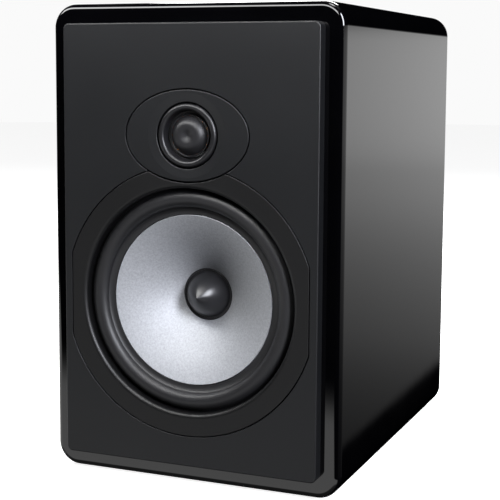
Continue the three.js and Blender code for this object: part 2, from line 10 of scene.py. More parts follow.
import bmesh
import bpy
from mathutils import Euler, Matrix, Vector
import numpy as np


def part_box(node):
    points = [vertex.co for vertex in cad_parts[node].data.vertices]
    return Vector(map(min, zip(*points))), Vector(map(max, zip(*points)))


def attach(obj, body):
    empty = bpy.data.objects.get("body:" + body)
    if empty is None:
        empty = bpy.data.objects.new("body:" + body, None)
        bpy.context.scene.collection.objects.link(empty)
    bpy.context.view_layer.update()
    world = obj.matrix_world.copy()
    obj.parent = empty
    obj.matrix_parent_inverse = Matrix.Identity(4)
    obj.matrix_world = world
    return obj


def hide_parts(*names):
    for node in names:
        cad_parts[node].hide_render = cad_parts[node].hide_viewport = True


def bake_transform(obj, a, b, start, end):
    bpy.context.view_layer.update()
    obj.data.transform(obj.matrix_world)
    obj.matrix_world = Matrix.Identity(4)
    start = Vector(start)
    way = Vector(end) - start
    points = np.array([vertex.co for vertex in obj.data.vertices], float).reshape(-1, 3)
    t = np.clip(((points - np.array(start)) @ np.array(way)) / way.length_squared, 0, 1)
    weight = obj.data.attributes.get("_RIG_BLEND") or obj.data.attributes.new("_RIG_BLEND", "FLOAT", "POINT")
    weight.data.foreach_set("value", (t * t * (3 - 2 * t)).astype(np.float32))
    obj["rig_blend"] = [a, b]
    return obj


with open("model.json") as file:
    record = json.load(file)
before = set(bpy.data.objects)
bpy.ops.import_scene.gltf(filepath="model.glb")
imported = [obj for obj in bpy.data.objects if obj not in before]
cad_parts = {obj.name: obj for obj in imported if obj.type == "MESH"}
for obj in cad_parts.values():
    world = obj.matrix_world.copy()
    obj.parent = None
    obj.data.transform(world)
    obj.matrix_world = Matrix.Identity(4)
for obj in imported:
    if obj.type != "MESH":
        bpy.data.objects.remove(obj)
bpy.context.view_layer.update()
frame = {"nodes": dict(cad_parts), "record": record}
scene = bpy.context.scene

# ------------------------------------------------------------------ sizes

MM = 0.001
ROUND_STEPS = 192
FILLET_STEPS = 6
CREASE_ANGLE = math.radians(32)
WELD = 0.001 * MM


def middle(cad_node):
    low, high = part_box(cad_node)
    return (low + high) / 2


def extent(cad_node):
    low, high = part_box(cad_node)
    return high - low


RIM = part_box("cabinet_top")[0].y
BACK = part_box("cabinet_top")[1].y
PLATE_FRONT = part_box("face_plate")[0].y
CABINET_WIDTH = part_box("cabinet_right_side")[1].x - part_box("cabinet_left_side")[0].x
CABINET_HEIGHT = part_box("cabinet_top")[1].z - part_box("cabinet_bottom")[0].z
CABINET_MIDDLE = Vector((0, RIM, middle("cabinet_right_side").z))
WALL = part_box("cabinet_right_side")[1].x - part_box("cabinet_right_side")[0].x
CORNER = 16 * MM

WOOFER = Vector((0, RIM, middle("woofer_cone").z))
TWEETER = Vector((0, RIM, middle("tweeter_faceplate").z))
PORT = Vector((0, BACK, middle("port_flange").z))
CUP = Vector((0, BACK, middle("terminal_cup").z))

TRIM_FLAT = extent("woofer_trim_ring").x / 2
TRIM_RADIUS = WOOFER.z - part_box("woofer_trim_ring")[0].z
TRIM_BORE = 75.5 * MM
# The face plate's opening is wider by GROOVE than the trim ring and the oval plate that lie in it. GAP is
# drawn off the edges of those two as well, so that the black lines between the three show.
GROOVE = 0.5 * MM
GAP = 0.4 * MM

CONE_RADIUS = extent("woofer_cone").x / 2
CONE_CURVE = 0.38
CONE_EDGE_DEPTH = 0.5 * MM
CONE_DEPTH = 26.5 * MM
CONE_THICKNESS = 0.9 * MM
CONE_NECK = 13.6 * MM
CAP_RADIUS = extent("woofer_dust_cap").x / 2
LANDING_INNER = CONE_RADIUS + 0.3 * MM
LANDING_OUTER = 62.6 * MM
ROLL_OUTER = 73.9 * MM
SPIDER_OUTER = 42 * MM

OVAL_WIDE = extent("tweeter_faceplate").x / 2
OVAL_TALL = extent("tweeter_faceplate").z / 2
DOME_RADIUS = extent("tweeter_dome").x / 2

PORT_FLANGE = extent("port_flange").x / 2
PORT_BORE = 22 * MM
CUP_CORNER = 8 * MM
CUP_FLOOR = -26 * MM
SUNK = 0.7 * MM


# ------------------------------------------------------------------ outlines

def rounded(corners, closed=True, steps=FILLET_STEPS):
    """Points along an outline of (a, b, radius) corners, each turned into an arc of its radius."""
    points = []
    for index, (a, b, radius) in enumerate(corners):
        corner = Vector((a, b))
        is_end = not closed and index in (0, len(corners) - 1)
        if radius == 0 or is_end:
            points.append(corner)
            continue
        before = (Vector(corners[index - 1][:2]) - corner).normalized()
        after = (Vector(corners[(index + 1) % len(corners)][:2]) - corner).normalized()
        half = before.angle(after) / 2
        centre = corner + (before + after).normalized() * (radius / math.sin(half))
        start = corner + before * (radius / math.tan(half)) - centre
        end = corner + after * (radius / math.tan(half)) - centre
        sweep = start.angle_signed(end)
        for step in range(steps + 1):
            points.append(centre + Matrix.Rotation(-sweep * step / steps, 2) @ start)
    return points


def arc(centre, radius, start, end, steps):
    """Points on an arc round a centre (a, b), from one angle to another in degrees."""
    angles = [math.radians(start + (end - start) * step / steps) for step in range(steps + 1)]
    return [Vector((centre[0] + radius * math.cos(t), centre[1] + radius * math.sin(t))) for t in angles]


def rectangle(width, height, corner, steps=10):
    x, z = width / 2, height / 2
    return rounded([(-x, -z, corner), (x, -z, corner), (x, z, corner), (-x, z, corner)], steps=steps)


def ellipse(half_width, half_height, steps=ROUND_STEPS):
    angles = [2 * math.pi * step / steps for step in range(steps)]
    return [Vector((half_width * math.cos(t), half_height * math.sin(t))) for t in angles]


def upright(outline, place, depth):
    """An outline of (x, z) points stood up at a place, a depth behind it."""
    return [Vector((place.x + x, place.y + depth, place.z + z)) for x, z in outline]


# ------------------------------------------------------------------ bodies

def solid(name, body, finish):
    """Closes, turns outwards and shades a bmesh, and makes it an object with its place in its mesh."""
    bmesh.ops.remove_doubles(body, verts=body.verts, dist=WELD)
    bmesh.ops.recalc_face_normals(body, faces=body.faces)
    mesh = bpy.data.meshes.new(name)
    body.to_mesh(mesh)
    body.free()
    mesh.shade_smooth()
    mesh.set_sharp_from_angle(angle=CREASE_ANGLE)
    mesh.materials.append(finish)
    piece = bpy.data.objects.new(name, mesh)
    scene.collection.objects.link(piece)
    return piece


def skin(name, loops, finish, ends="joined"):
    """A body whose surface runs from each loop of points to the next.

    The last loop is joined to the first, or each end is capped, or both are left to close on an axis.
    """
    body = bmesh.new()
    rows = [[body.verts.new(point) for point in loop] for loop in loops]
    following = rows[1:] + rows[:1] if ends == "joined" else rows[1:]
    for row, other in zip(rows, following):
        for i in range(len(row)):
            j = (i + 1) % len(row)
            body.faces.new((row[i], row[j], other[j], other[i]))
    if ends == "capped":
        body.faces.new(rows[0])
        body.faces.new(reversed(rows[-1]))
    return solid(name, body, finish)


def turned(name, outline, place, finish, upwards=False, steps=ROUND_STEPS):
    """An outline of (radius, depth) turned about the front-to-back axis, or the upright one, at a place."""
    angles = [2 * math.pi * step / steps for step in range(steps)]
    loops = []
    for radius, depth in outline:
        if upwards:
            loop = [place + Vector((radius * math.cos(t), radius * math.sin(t), depth)) for t in angles]
        else:
            loop = [place + Vector((radius * math.cos(t), depth, radius * math.sin(t))) for t in angles]
        loops.append(loop)
    on_axis = outline[0][0] == 0 and outline[-1][0] == 0
    return skin(name, loops, finish, ends="pointed" if on_axis else "joined")


def grown_by(outline, distance):
    """A counter-clockwise outline moved outwards by a distance, with its corners kept sharp."""
    moved = []
    for i, point in enumerate(outline):
        before = (point - outline[i - 1]).normalized()
        after = (outline[(i + 1) % len(outline)] - point).normalized()
        out_before = Vector((before.y, -before.x))
        out_after = Vector((after.y, -after.x))
        moved.append(point + (out_before + out_after) * (distance / (1 + out_before.dot(out_after))))
    return moved


def board(name, outline, openings, place, depths, edges, finish):
    """A flat board between two depths, with openings through it and the edges of its face rounded.

    Outlines are counter-clockwise, and the face is at the first depth. The first edge radius is that of
    the outline, the second that of the openings.
    """
    face, rear = depths
    inwards = 1 if rear > face else -1
    turns = [math.pi / 2 * step / FILLET_STEPS for step in range(FILLET_STEPS + 1)]
    body = bmesh.new()
    rims = {"face": [], "rear": []}
    for number, rim in enumerate([outline, *openings]):
        side = -1 if number == 0 else 1
        edge = edges[0] if number == 0 else edges[1]
        rows = []
        for turn in turns:
            inset = edge * (1 - math.sin(turn))
            depth = face + inwards * edge * (1 - math.cos(turn))
            loop = upright(grown_by(rim, side * inset), place, depth)
            rows.append([body.verts.new(point) for point in loop])
        rows.append([body.verts.new(point) for point in upright(rim, place, rear)])
        for row, other in zip(rows, rows[1:]):
            for i in range(len(row)):
                j = (i + 1) % len(row)
                body.faces.new((row[i], row[j], other[j], other[i]))
        rims["face"] += [body.edges.get((rows[0][i - 1], rows[0][i])) for i in range(len(rim))]
        rims["rear"] += [body.edges.get((rows[-1][i - 1], rows[-1][i])) for i in range(len(rim))]
    for rim_edges in rims.values():
        bmesh.ops.triangle_fill(body, edges=rim_edges, use_beauty=True)
    return flat_shaded(solid(name, body, finish))


def flat_shaded(piece):
    """Lets the large faces set the shading where they meet a rounded edge, so that flats look flat."""
    weights = piece.modifiers.new("flats_lead_the_shading", "WEIGHTED_NORMAL")
    weights.keep_sharp = True
    weights.weight = 90
    return piece


def fit(piece, body, slot, *cad_nodes):
    """Puts a finished piece on its body, in place of the CAD nodes that it stands for."""
    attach(piece, body)
    if cad_nodes:
        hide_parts(*cad_nodes)
    return piece


# ------------------------------------------------------------------ node trees

def node(tree, kind, inputs=None, **settings):
    """Adds a node to a shader or geometry tree, sets it up, and joins or fills its inputs."""
    made = tree.nodes.new(kind)
    for name, value in settings.items():
        setattr(made, name, value)
    for name, value in (inputs or {}).items():
        if isinstance(value, bpy.types.NodeSocket):
            tree.links.new(value, made.inputs[name])
        else:
            made.inputs[name].default_value = value
    return made


def linear(colour):
    """A linear colour from an sRGB hex value such as #1a2b3c."""
    channels = [int(colour[i:i + 2], 16) / 255 for i in (1, 3, 5)]
    return [c / 12.92 if c <= 0.04045 else ((c + 0.055) / 1.055) ** 2.4 for c in channels] + [1.0]


def per(size):
    """The scale that gives a procedural pattern features of a size in millimetres."""
    return 1 / (size * MM)


def bands(spacing):
    """The scale of a wave texture whose bands lie a spacing in millimetres apart."""
    return per(spacing) * 2 * math.pi / 20


class Finish:
    """A material under construction, with the place in the object that its patterns read."""

    def __init__(self, name):
        self.material = bpy.data.materials.new(name)
        self.material.use_nodes = True
        self.tree = self.material.node_tree
        self.tree.nodes.clear()
        self.place = node(self.tree, "ShaderNodeTexCoord").outputs["Object"]

    def surface(self, **inputs):
        """Joins a Principled surface to the output, and gives the material."""
        named = {name.replace("_", " "): value for name, value in inputs.items()}
        shader = node(self.tree, "ShaderNodeBsdfPrincipled", named)
        node(self.tree, "ShaderNodeOutputMaterial", {"Surface": shader.outputs["BSDF"]})
        return self.material


# ------------------------------------------------------------------ finishes of the cabinet

def polyester_lacquer():
    """Black polyester, sprayed thick and buffed: a deep mirror with the faintest orange peel."""
    f = Finish("black_polyester_lacquer")
    peel = node(f.tree, "ShaderNodeTexNoise", {"Vector": f.place, "Scale": per(14), "Detail": 0.5})
    swell = node(f.tree, "ShaderNodeBump",
                 {"Height": peel.outputs["Fac"], "Strength": 0.05, "Distance": 0.05 * MM})
    haze = node(f.tree, "ShaderNodeTexNoise", {"Vector": f.place, "Scale": per(30), "Detail": 4.0})
    buffing = node(f.tree, "ShaderNodeMapRange",
                   {"Value": haze.outputs["Fac"], "To Min": 0.02, "To Max": 0.05})
    pigment = node(f.tree, "ShaderNodeMix",
                   {0: haze.outputs["Fac"], 6: linear("#020203"), 7: linear("#040405")},
                   data_type="RGBA")
    return f.surface(Base_Color=pigment.outputs[2], Roughness=buffing.outputs["Result"], IOR=1.52,
                     Normal=swell.outputs["Normal"])


def moulded_plastic(name, light, dark, roughness, grain=0.5, depth=0.02, ior=1.5):
    """Injection-moulded ABS: an even satin from the spark-eroded mould, a little shinier here and there."""
    f = Finish(name)
    pits = node(f.tree, "ShaderNodeTexNoise", {"Vector": f.place, "Scale": per(grain), "Detail": 3.0})
    texture = node(f.tree, "ShaderNodeBump",
                   {"Height": pits.outputs["Fac"], "Strength": 0.5, "Distance": depth * MM})
    flow = node(f.tree, "ShaderNodeTexNoise", {"Vector": f.place, "Scale": per(60), "Detail": 3.0})
    colour = node(f.tree, "ShaderNodeMix", {0: flow.outputs["Fac"], 6: linear(dark), 7: linear(light)},
                  data_type="RGBA")
    satin = node(f.tree, "ShaderNodeMapRange",
                 {"Value": flow.outputs["Fac"], "To Min": roughness - 0.04, "To Max": roughness + 0.04})
    return f.surface(Base_Color=colour.outputs[2], Roughness=satin.outputs["Result"], IOR=ior,
                     Normal=texture.outputs["Normal"])


def textured_paint():
    """Black splatter paint rolled on the rear panel: a coarse pebbled grain that breaks up the light."""
    f = Finish("black_splatter_paint")
    pebbles = node(f.tree, "ShaderNodeTexVoronoi",
                   {"Vector": f.place, "Scale": per(1.1)}, feature="SMOOTH_F1")
    speckle = node(f.tree, "ShaderNodeTexNoise", {"Vector": f.place, "Scale": per(0.7), "Detail": 2.0})
    height = node(f.tree, "ShaderNodeMath", {0: pebbles.outputs["Distance"], 1: speckle.outputs["Fac"]},
                  operation="SUBTRACT")
    texture = node(f.tree, "ShaderNodeBump",
                   {"Height": height.outputs[0], "Strength": 0.6, "Distance": 0.12 * MM})
    colour = node(f.tree, "ShaderNodeMix",
                  {0: speckle.outputs["Fac"], 6: linear("#101011"), 7: linear("#202022")},
                  data_type="RGBA")
    return f.surface(Base_Color=colour.outputs[2], Roughness=0.55, IOR=1.5, Normal=texture.outputs["Normal"])


def fibreboard():
    """Medium-density fibreboard: fine tan fibres, painted black on the face that shows in the grooves."""
    f = Finish("medium_density_fibreboard")
    fibres = node(f.tree, "ShaderNodeTexNoise", {"Vector": f.place, "Scale": per(0.8), "Detail": 6.0})
    tan = node(f.tree, "ShaderNodeMix",
               {0: fibres.outputs["Fac"], 6: linear("#8f7250"), 7: linear("#b89a72")},
               data_type="RGBA")
    depth = node(f.tree, "ShaderNodeSeparateXYZ", {"Vector": f.place})
    bare = node(f.tree, "ShaderNodeMath",
                {0: depth.outputs["Y"], 1: RIM + 0.5 * MM}, operation="GREATER_THAN")
    colour = node(f.tree, "ShaderNodeMix", {0: bare.outputs[0], 6: linear("#050505"), 7: tan.outputs[2]},
                  data_type="RGBA")
    fuzz = node(f.tree, "ShaderNodeBump",
                {"Height": fibres.outputs["Fac"], "Strength": 0.3, "Distance": 0.05 * MM})
    return f.surface(Base_Color=colour.outputs[2], Roughness=0.85, Normal=fuzz.outputs["Normal"])


# ------------------------------------------------------------------ finishes of the drivers

def rolled_rubber():
    """Butyl rubber pressed in a satin mould: soft dark grey with a broad, dull sheen."""
    f = Finish("moulded_butyl_rubber")
    bloom = node(f.tree, "ShaderNodeTexNoise", {"Vector": f.place, "Scale": per(9), "Detail": 5.0})
    colour = node(f.tree, "ShaderNodeMix",
                  {0: bloom.outputs["Fac"], 6: linear("#1b1b1c"), 7: linear("#222224")},
                  data_type="RGBA")
    skin_grain = node(f.tree, "ShaderNodeTexNoise",
                      {"Vector": f.place, "Scale": per(0.35), "Detail": 2.0})
    texture = node(f.tree, "ShaderNodeBump",
                   {"Height": skin_grain.outputs["Fac"], "Strength": 0.25, "Distance": 0.02 * MM})
    return f.surface(Base_Color=colour.outputs[2], Roughness=0.46, IOR=1.52,
                     Normal=texture.outputs["Normal"])


def silvered_polypropylene():
    """Polypropylene filled with mica: silver-grey, with a fine sparkling grain set in a matt skin.

    The flakes are far finer than a millimetre, and are drawn at about half of one so that they show.
    """
    f = Finish("mica_filled_polypropylene")
    flakes = node(f.tree, "ShaderNodeTexNoise", {"Vector": f.place, "Scale": per(0.55), "Detail": 4.0,
                                                 "Roughness": 0.7})
    clouds = node(f.tree, "ShaderNodeTexNoise", {"Vector": f.place, "Scale": per(1.3), "Detail": 2.0})
    mixed = node(f.tree, "ShaderNodeMath",
                 {0: flakes.outputs["Fac"], 1: clouds.outputs["Fac"]}, operation="ADD")
    spread = node(f.tree, "ShaderNodeMapRange",
                  {"Value": mixed.outputs[0], "From Min": 0.7, "From Max": 1.3})
    colour = node(f.tree, "ShaderNodeMix",
                  {0: spread.outputs["Result"], 6: linear("#9b9da1"), 7: linear("#b5b7bb")},
                  data_type="RGBA")
    texture = node(f.tree, "ShaderNodeBump", {"Height": flakes.outputs["Fac"], "Strength": 0.3,
                                              "Distance": 0.03 * MM})
    satin = node(f.tree, "ShaderNodeMapRange",
                 {"Value": flakes.outputs["Fac"], "To Min": 0.68, "To Max": 0.5})
    return f.surface(Base_Color=colour.outputs[2], Metallic=0.4, Roughness=satin.outputs["Result"],
                     Normal=texture.outputs["Normal"])


def rubberised_cap():
    """A pressed cap with a smooth rubber coat: charcoal, with a tight soft highlight."""
    f = Finish("rubber_coated_cap")
    haze = node(f.tree, "ShaderNodeTexNoise", {"Vector": f.place, "Scale": per(2), "Detail": 4.0})
    colour = node(f.tree, "ShaderNodeMix",
                  {0: haze.outputs["Fac"], 6: linear("#1a1a1c"), 7: linear("#222225")},
                  data_type="RGBA")
    satin = node(f.tree, "ShaderNodeMapRange",
                 {"Value": haze.outputs["Fac"], "To Min": 0.26, "To Max": 0.34})
    texture = node(f.tree, "ShaderNodeBump",
                   {"Height": haze.outputs["Fac"], "Strength": 0.1, "Distance": 0.03 * MM})
    return f.surface(Base_Color=colour.outputs[2], Roughness=satin.outputs["Result"], IOR=1.52,
                     Normal=texture.outputs["Normal"])


def coated_silk():
    """Silk doped with a tacky dark coat: a satin dome where the weave only just shows.

    The threads lie 0.4 mm apart, drawn as two crossing sets of waves.
    """
    f = Finish("doped_silk")
    warp = node(f.tree, "ShaderNodeTexWave", {"Vector": f.place, "Scale": bands(0.4), "Distortion": 0.3},
                bands_direction="X")
    weft = node(f.tree, "ShaderNodeTexWave", {"Vector": f.place, "Scale": bands(0.4), "Distortion": 0.3},
                bands_direction="Z")
    weave = node(f.tree, "ShaderNodeMath",
                 {0: warp.outputs["Fac"], 1: weft.outputs["Fac"]}, operation="MULTIPLY")
    colour = node(f.tree, "ShaderNodeMix",
                  {0: weave.outputs[0], 6: linear("#19191b"), 7: linear("#232326")},
                  data_type="RGBA")
    texture = node(f.tree, "ShaderNodeBump",
                   {"Height": weave.outputs[0], "Strength": 0.15, "Distance": 0.04 * MM})
    return f.surface(Base_Color=colour.outputs[2], Roughness=0.45, IOR=1.48,
                     Normal=texture.outputs["Normal"])


# ------------------------------------------------------------------ finishes of metal and inner pieces

def metal(name, light, dark, roughness, lay=0.4, depth=0.01):
    """Bare or plated metal: its machining lay shows as fine rings or lines that vary the shine."""
    f = Finish(name)
    lathe_marks = node(f.tree, "ShaderNodeTexNoise",
                       {"Vector": f.place, "Scale": per(lay), "Detail": 3.0})
    tarnish = node(f.tree, "ShaderNodeTexNoise", {"Vector": f.place, "Scale": per(7), "Detail": 4.0})
    colour = node(f.tree, "ShaderNodeMix", {0: tarnish.outputs["Fac"], 6: linear(dark), 7: linear(light)},
                  data_type="RGBA")
    shine = node(f.tree, "ShaderNodeMapRange", {"Value": tarnish.outputs["Fac"], "To Min": roughness - 0.06,
                                                "To Max": roughness + 0.08})
    marks = node(f.tree, "ShaderNodeBump", {"Height": lathe_marks.outputs["Fac"], "Strength": 0.3,
                                            "Distance": depth * MM})
    return f.surface(Base_Color=colour.outputs[2], Metallic=1.0, Roughness=shine.outputs["Result"],
                     Normal=marks.outputs["Normal"])


def painted_metal():
    """Pressed steel under black powder paint: matt, with the slight ripple of the powder."""
    f = Finish("powder_painted_steel")
    ripple = node(f.tree, "ShaderNodeTexNoise", {"Vector": f.place, "Scale": per(1.2), "Detail": 3.0})
    texture = node(f.tree, "ShaderNodeBump",
                   {"Height": ripple.outputs["Fac"], "Strength": 0.4, "Distance": 0.06 * MM})
    colour = node(f.tree, "ShaderNodeMix",
                  {0: ripple.outputs["Fac"], 6: linear("#0d0d0e"), 7: linear("#18181a")},
                  data_type="RGBA")
    return f.surface(Base_Color=colour.outputs[2], Roughness=0.6, IOR=1.5, Normal=texture.outputs["Normal"])


def enamelled_copper():
    """Copper wire under clear enamel, wound in turns half a millimetre apart."""
    f = Finish("enamelled_copper_wire")
    turns = node(f.tree, "ShaderNodeTexWave",
                 {"Vector": f.place, "Scale": bands(0.5)}, bands_direction="Z")
    colour = node(f.tree, "ShaderNodeMix",
                  {0: turns.outputs["Fac"], 6: linear("#8a4a24"), 7: linear("#cf8452")},
                  data_type="RGBA")
    wires = node(f.tree, "ShaderNodeBump",
                 {"Height": turns.outputs["Fac"], "Strength": 0.7, "Distance": 0.2 * MM})
    return f.surface(Base_Color=colour.outputs[2], Metallic=1.0, Roughness=0.28, Coat_Weight=0.6,
                     Normal=wires.outputs["Normal"])


def fired_body(name, light, dark, roughness):
    """A fired or pressed block, such as ferrite or cement: dull, with a granular break-up of its colour."""
    f = Finish(name)
    grains = node(f.tree, "ShaderNodeTexVoronoi", {"Vector": f.place, "Scale": per(0.9)})
    dust = node(f.tree, "ShaderNodeTexNoise", {"Vector": f.place, "Scale": per(4), "Detail": 5.0})
    colour = node(f.tree, "ShaderNodeMix", {0: dust.outputs["Fac"], 6: linear(dark), 7: linear(light)},
                  data_type="RGBA")
    texture = node(f.tree, "ShaderNodeBump", {"Height": grains.outputs["Distance"], "Strength": 0.3,
                                              "Distance": 0.06 * MM})
    return f.surface(Base_Color=colour.outputs[2], Roughness=roughness, Normal=texture.outputs["Normal"])


def cloth(name, light, dark, thread, loft):
    """Woven or needled fibre: crossing threads of a given spacing under a soft, rough nap."""
    f = Finish(name)
    warp = node(f.tree, "ShaderNodeTexWave",
                {"Vector": f.place, "Scale": bands(thread), "Distortion": 2.0},
                bands_direction="X")
    weft = node(f.tree, "ShaderNodeTexWave",
                {"Vector": f.place, "Scale": bands(thread), "Distortion": 2.0},
                bands_direction="Z")
    nap = node(f.tree, "ShaderNodeTexNoise", {"Vector": f.place, "Scale": per(thread * 3), "Detail": 5.0})
    weave = node(f.tree, "ShaderNodeMath",
                 {0: warp.outputs["Fac"], 1: weft.outputs["Fac"]}, operation="MULTIPLY")
    height = node(f.tree, "ShaderNodeMath", {0: weave.outputs[0], 1: nap.outputs["Fac"]}, operation="ADD")
    colour = node(f.tree, "ShaderNodeMix", {0: nap.outputs["Fac"], 6: linear(dark), 7: linear(light)},
                  data_type="RGBA")
    texture = node(f.tree, "ShaderNodeBump",
                   {"Height": height.outputs[0], "Strength": 0.6, "Distance": loft * MM})
    return f.surface(Base_Color=colour.outputs[2], Roughness=0.9, Sheen_Weight=0.3,
                     Normal=texture.outputs["Normal"])


def glossy_plastic(name, light, dark):
    """Polished acrylic or flexible vinyl in one colour: a clear skin over a strong, even pigment."""
    f = Finish(name)
    flow = node(f.tree, "ShaderNodeTexNoise", {"Vector": f.place, "Scale": per(6), "Detail": 3.0})
    colour = node(f.tree, "ShaderNodeMix", {0: flow.outputs["Fac"], 6: linear(dark), 7: linear(light)},
                  data_type="RGBA")
    wear = node(f.tree, "ShaderNodeMapRange",
                {"Value": flow.outputs["Fac"], "To Min": 0.18, "To Max": 0.32})
    scuffs = node(f.tree, "ShaderNodeTexNoise", {"Vector": f.place, "Scale": per(0.6), "Detail": 2.0})
    texture = node(f.tree, "ShaderNodeBump", {"Height": scuffs.outputs["Fac"], "Strength": 0.15,
                                              "Distance": 0.02 * MM})
    return f.surface(Base_Color=colour.outputs[2], Roughness=wear.outputs["Result"], IOR=1.49,
                     Normal=texture.outputs["Normal"])


FINISHES = {
    "gloss_lacquer": polyester_lacquer(),
    "fibreboard": fibreboard(),
    "rear_finish": textured_paint(),
    "satin_plastic": moulded_plastic("satin_grey_black_abs", "#121315", "#0f1012", 0.42),
    "dark_plastic": moulded_plastic("satin_black_abs", "#0a0a0b", "#070708", 0.44),
    "black_plastic": moulded_plastic("spark_eroded_black_abs", "#101011", "#0b0b0c", 0.52,
                                     grain=0.8, depth=0.05),
    "rubber": rolled_rubber(),
    "silver_cone": silvered_polypropylene(),
    "soft_dome": coated_silk(),
    "cast_metal": painted_metal(),
    "steel": metal("zinc_plated_steel", "#b9bbbd", "#95979a", 0.34),
    "ferrite": fired_body("sintered_ferrite", "#2b2b2d", "#1d1d1f", 0.7),
    "copper": enamelled_copper(),
    "gilt": metal("gold_plated_brass", "#e6bf6a", "#c99a3f", 0.2),
    "spider_cloth": cloth("resin_dipped_cotton", "#9a7742", "#7a5a2c", 0.6, 0.15),
    "wadding": cloth("polyester_wadding", "#e2e0d9", "#c2c0b8", 2.5, 1.5),
    "hardboard": fired_body("pressed_hardboard", "#6b4a2f", "#553820", 0.8),
    "red_plastic": glossy_plastic("red_acrylic", "#b01616", "#8d0e0e"),
    "grey_ceramic": fired_body("cement_filled_ceramic", "#cfcdc6", "#b5b2aa", 0.75),
    "wire_jacket": glossy_plastic("red_vinyl_jacket", "#8f2222", "#701616"),
}
BLACKENED_STEEL = metal("black_oxide_steel", "#3a3a3c", "#262628", 0.35)
DUST_CAP_FINISH = rubberised_cap()
LIP_FINISH = moulded_plastic("polished_black_abs", "#1b1b1d", "#161618", 0.34, grain=1.5, depth=0.01)


def finish_cad_nodes():
    """Gives each CAD node the finish of its slot; the pieces made here then stand for the visible ones."""
    for part in frame["record"]["subparts"]:
        shown = frame["nodes"][part["node"]]
        shown.data.materials.clear()
        shown.data.materials.append(FINISHES[part["material_slot"]])


# ------------------------------------------------------------------ geometry trees

def new_tree(name, sizes, wants_shape=True):
    """A geometry tree with a named number input for each size, and its input and output nodes."""
    tree = bpy.data.node_groups.new(name, "GeometryNodeTree")
    if wants_shape:
        tree.interface.new_socket("Geometry", in_out="INPUT", socket_type="NodeSocketGeometry")
    for size in sizes:
        kind = "NodeSocketInt" if size.endswith("Count") else "NodeSocketFloat"
        tree.interface.new_socket(size, in_out="INPUT", socket_type=kind)
    tree.interface.new_socket("Geometry", in_out="OUTPUT", socket_type="NodeSocketGeometry")
    return tree, node(tree, "NodeGroupInput").outputs


def close_tree(tree, shape, finish):
    """Ends a tree by making its instances real and giving them their finish."""
    real = node(tree, "GeometryNodeRealizeInstances", {"Geometry": shape})
    done = node(tree, "GeometryNodeSetMaterial",
                {"Geometry": real.outputs["Geometry"], "Material": finish})
    node(tree, "NodeGroupOutput", {"Geometry": done.outputs["Geometry"]})
    return tree


def grow(piece, tree, sizes, thickness=0):
    """Runs a geometry tree with its named sizes on a piece, and keeps the result as its plain mesh."""
    maker = piece.modifiers.new(tree.name, "NODES")
    maker.node_group = tree
    for socket in tree.interface.items_tree:
        if socket.in_out == "INPUT" and socket.name in sizes:
            maker[socket.identifier] = sizes[socket.name]
    if thickness:
        wall = piece.modifiers.new("sheet_thickness", "SOLIDIFY")
        wall.thickness = thickness
        wall.offset = -1
    evaluated = piece.evaluated_get(bpy.context.evaluated_depsgraph_get())
    mesh = bpy.data.meshes.new_from_object(evaluated)
    piece.modifiers.clear()
    piece.data = mesh
    body = bmesh.new()
    body.from_mesh(mesh)
    bmesh.ops.remove_doubles(body, verts=body.verts, dist=WELD)
    bmesh.ops.recalc_face_normals(body, faces=body.faces)
    body.to_mesh(mesh)
    body.free()
    mesh.shade_smooth()
    mesh.set_sharp_from_angle(angle=CREASE_ANGLE)
    return piece


def at_points(name, points):
    """An object that is only loose points, for a tree to set pieces on."""
    mesh = bpy.data.meshes.new(name)
    mesh.from_pydata([tuple(point) for point in points], [], [])
    piece = bpy.data.objects.new(name, mesh)
    scene.collection.objects.link(piece)
    return piece


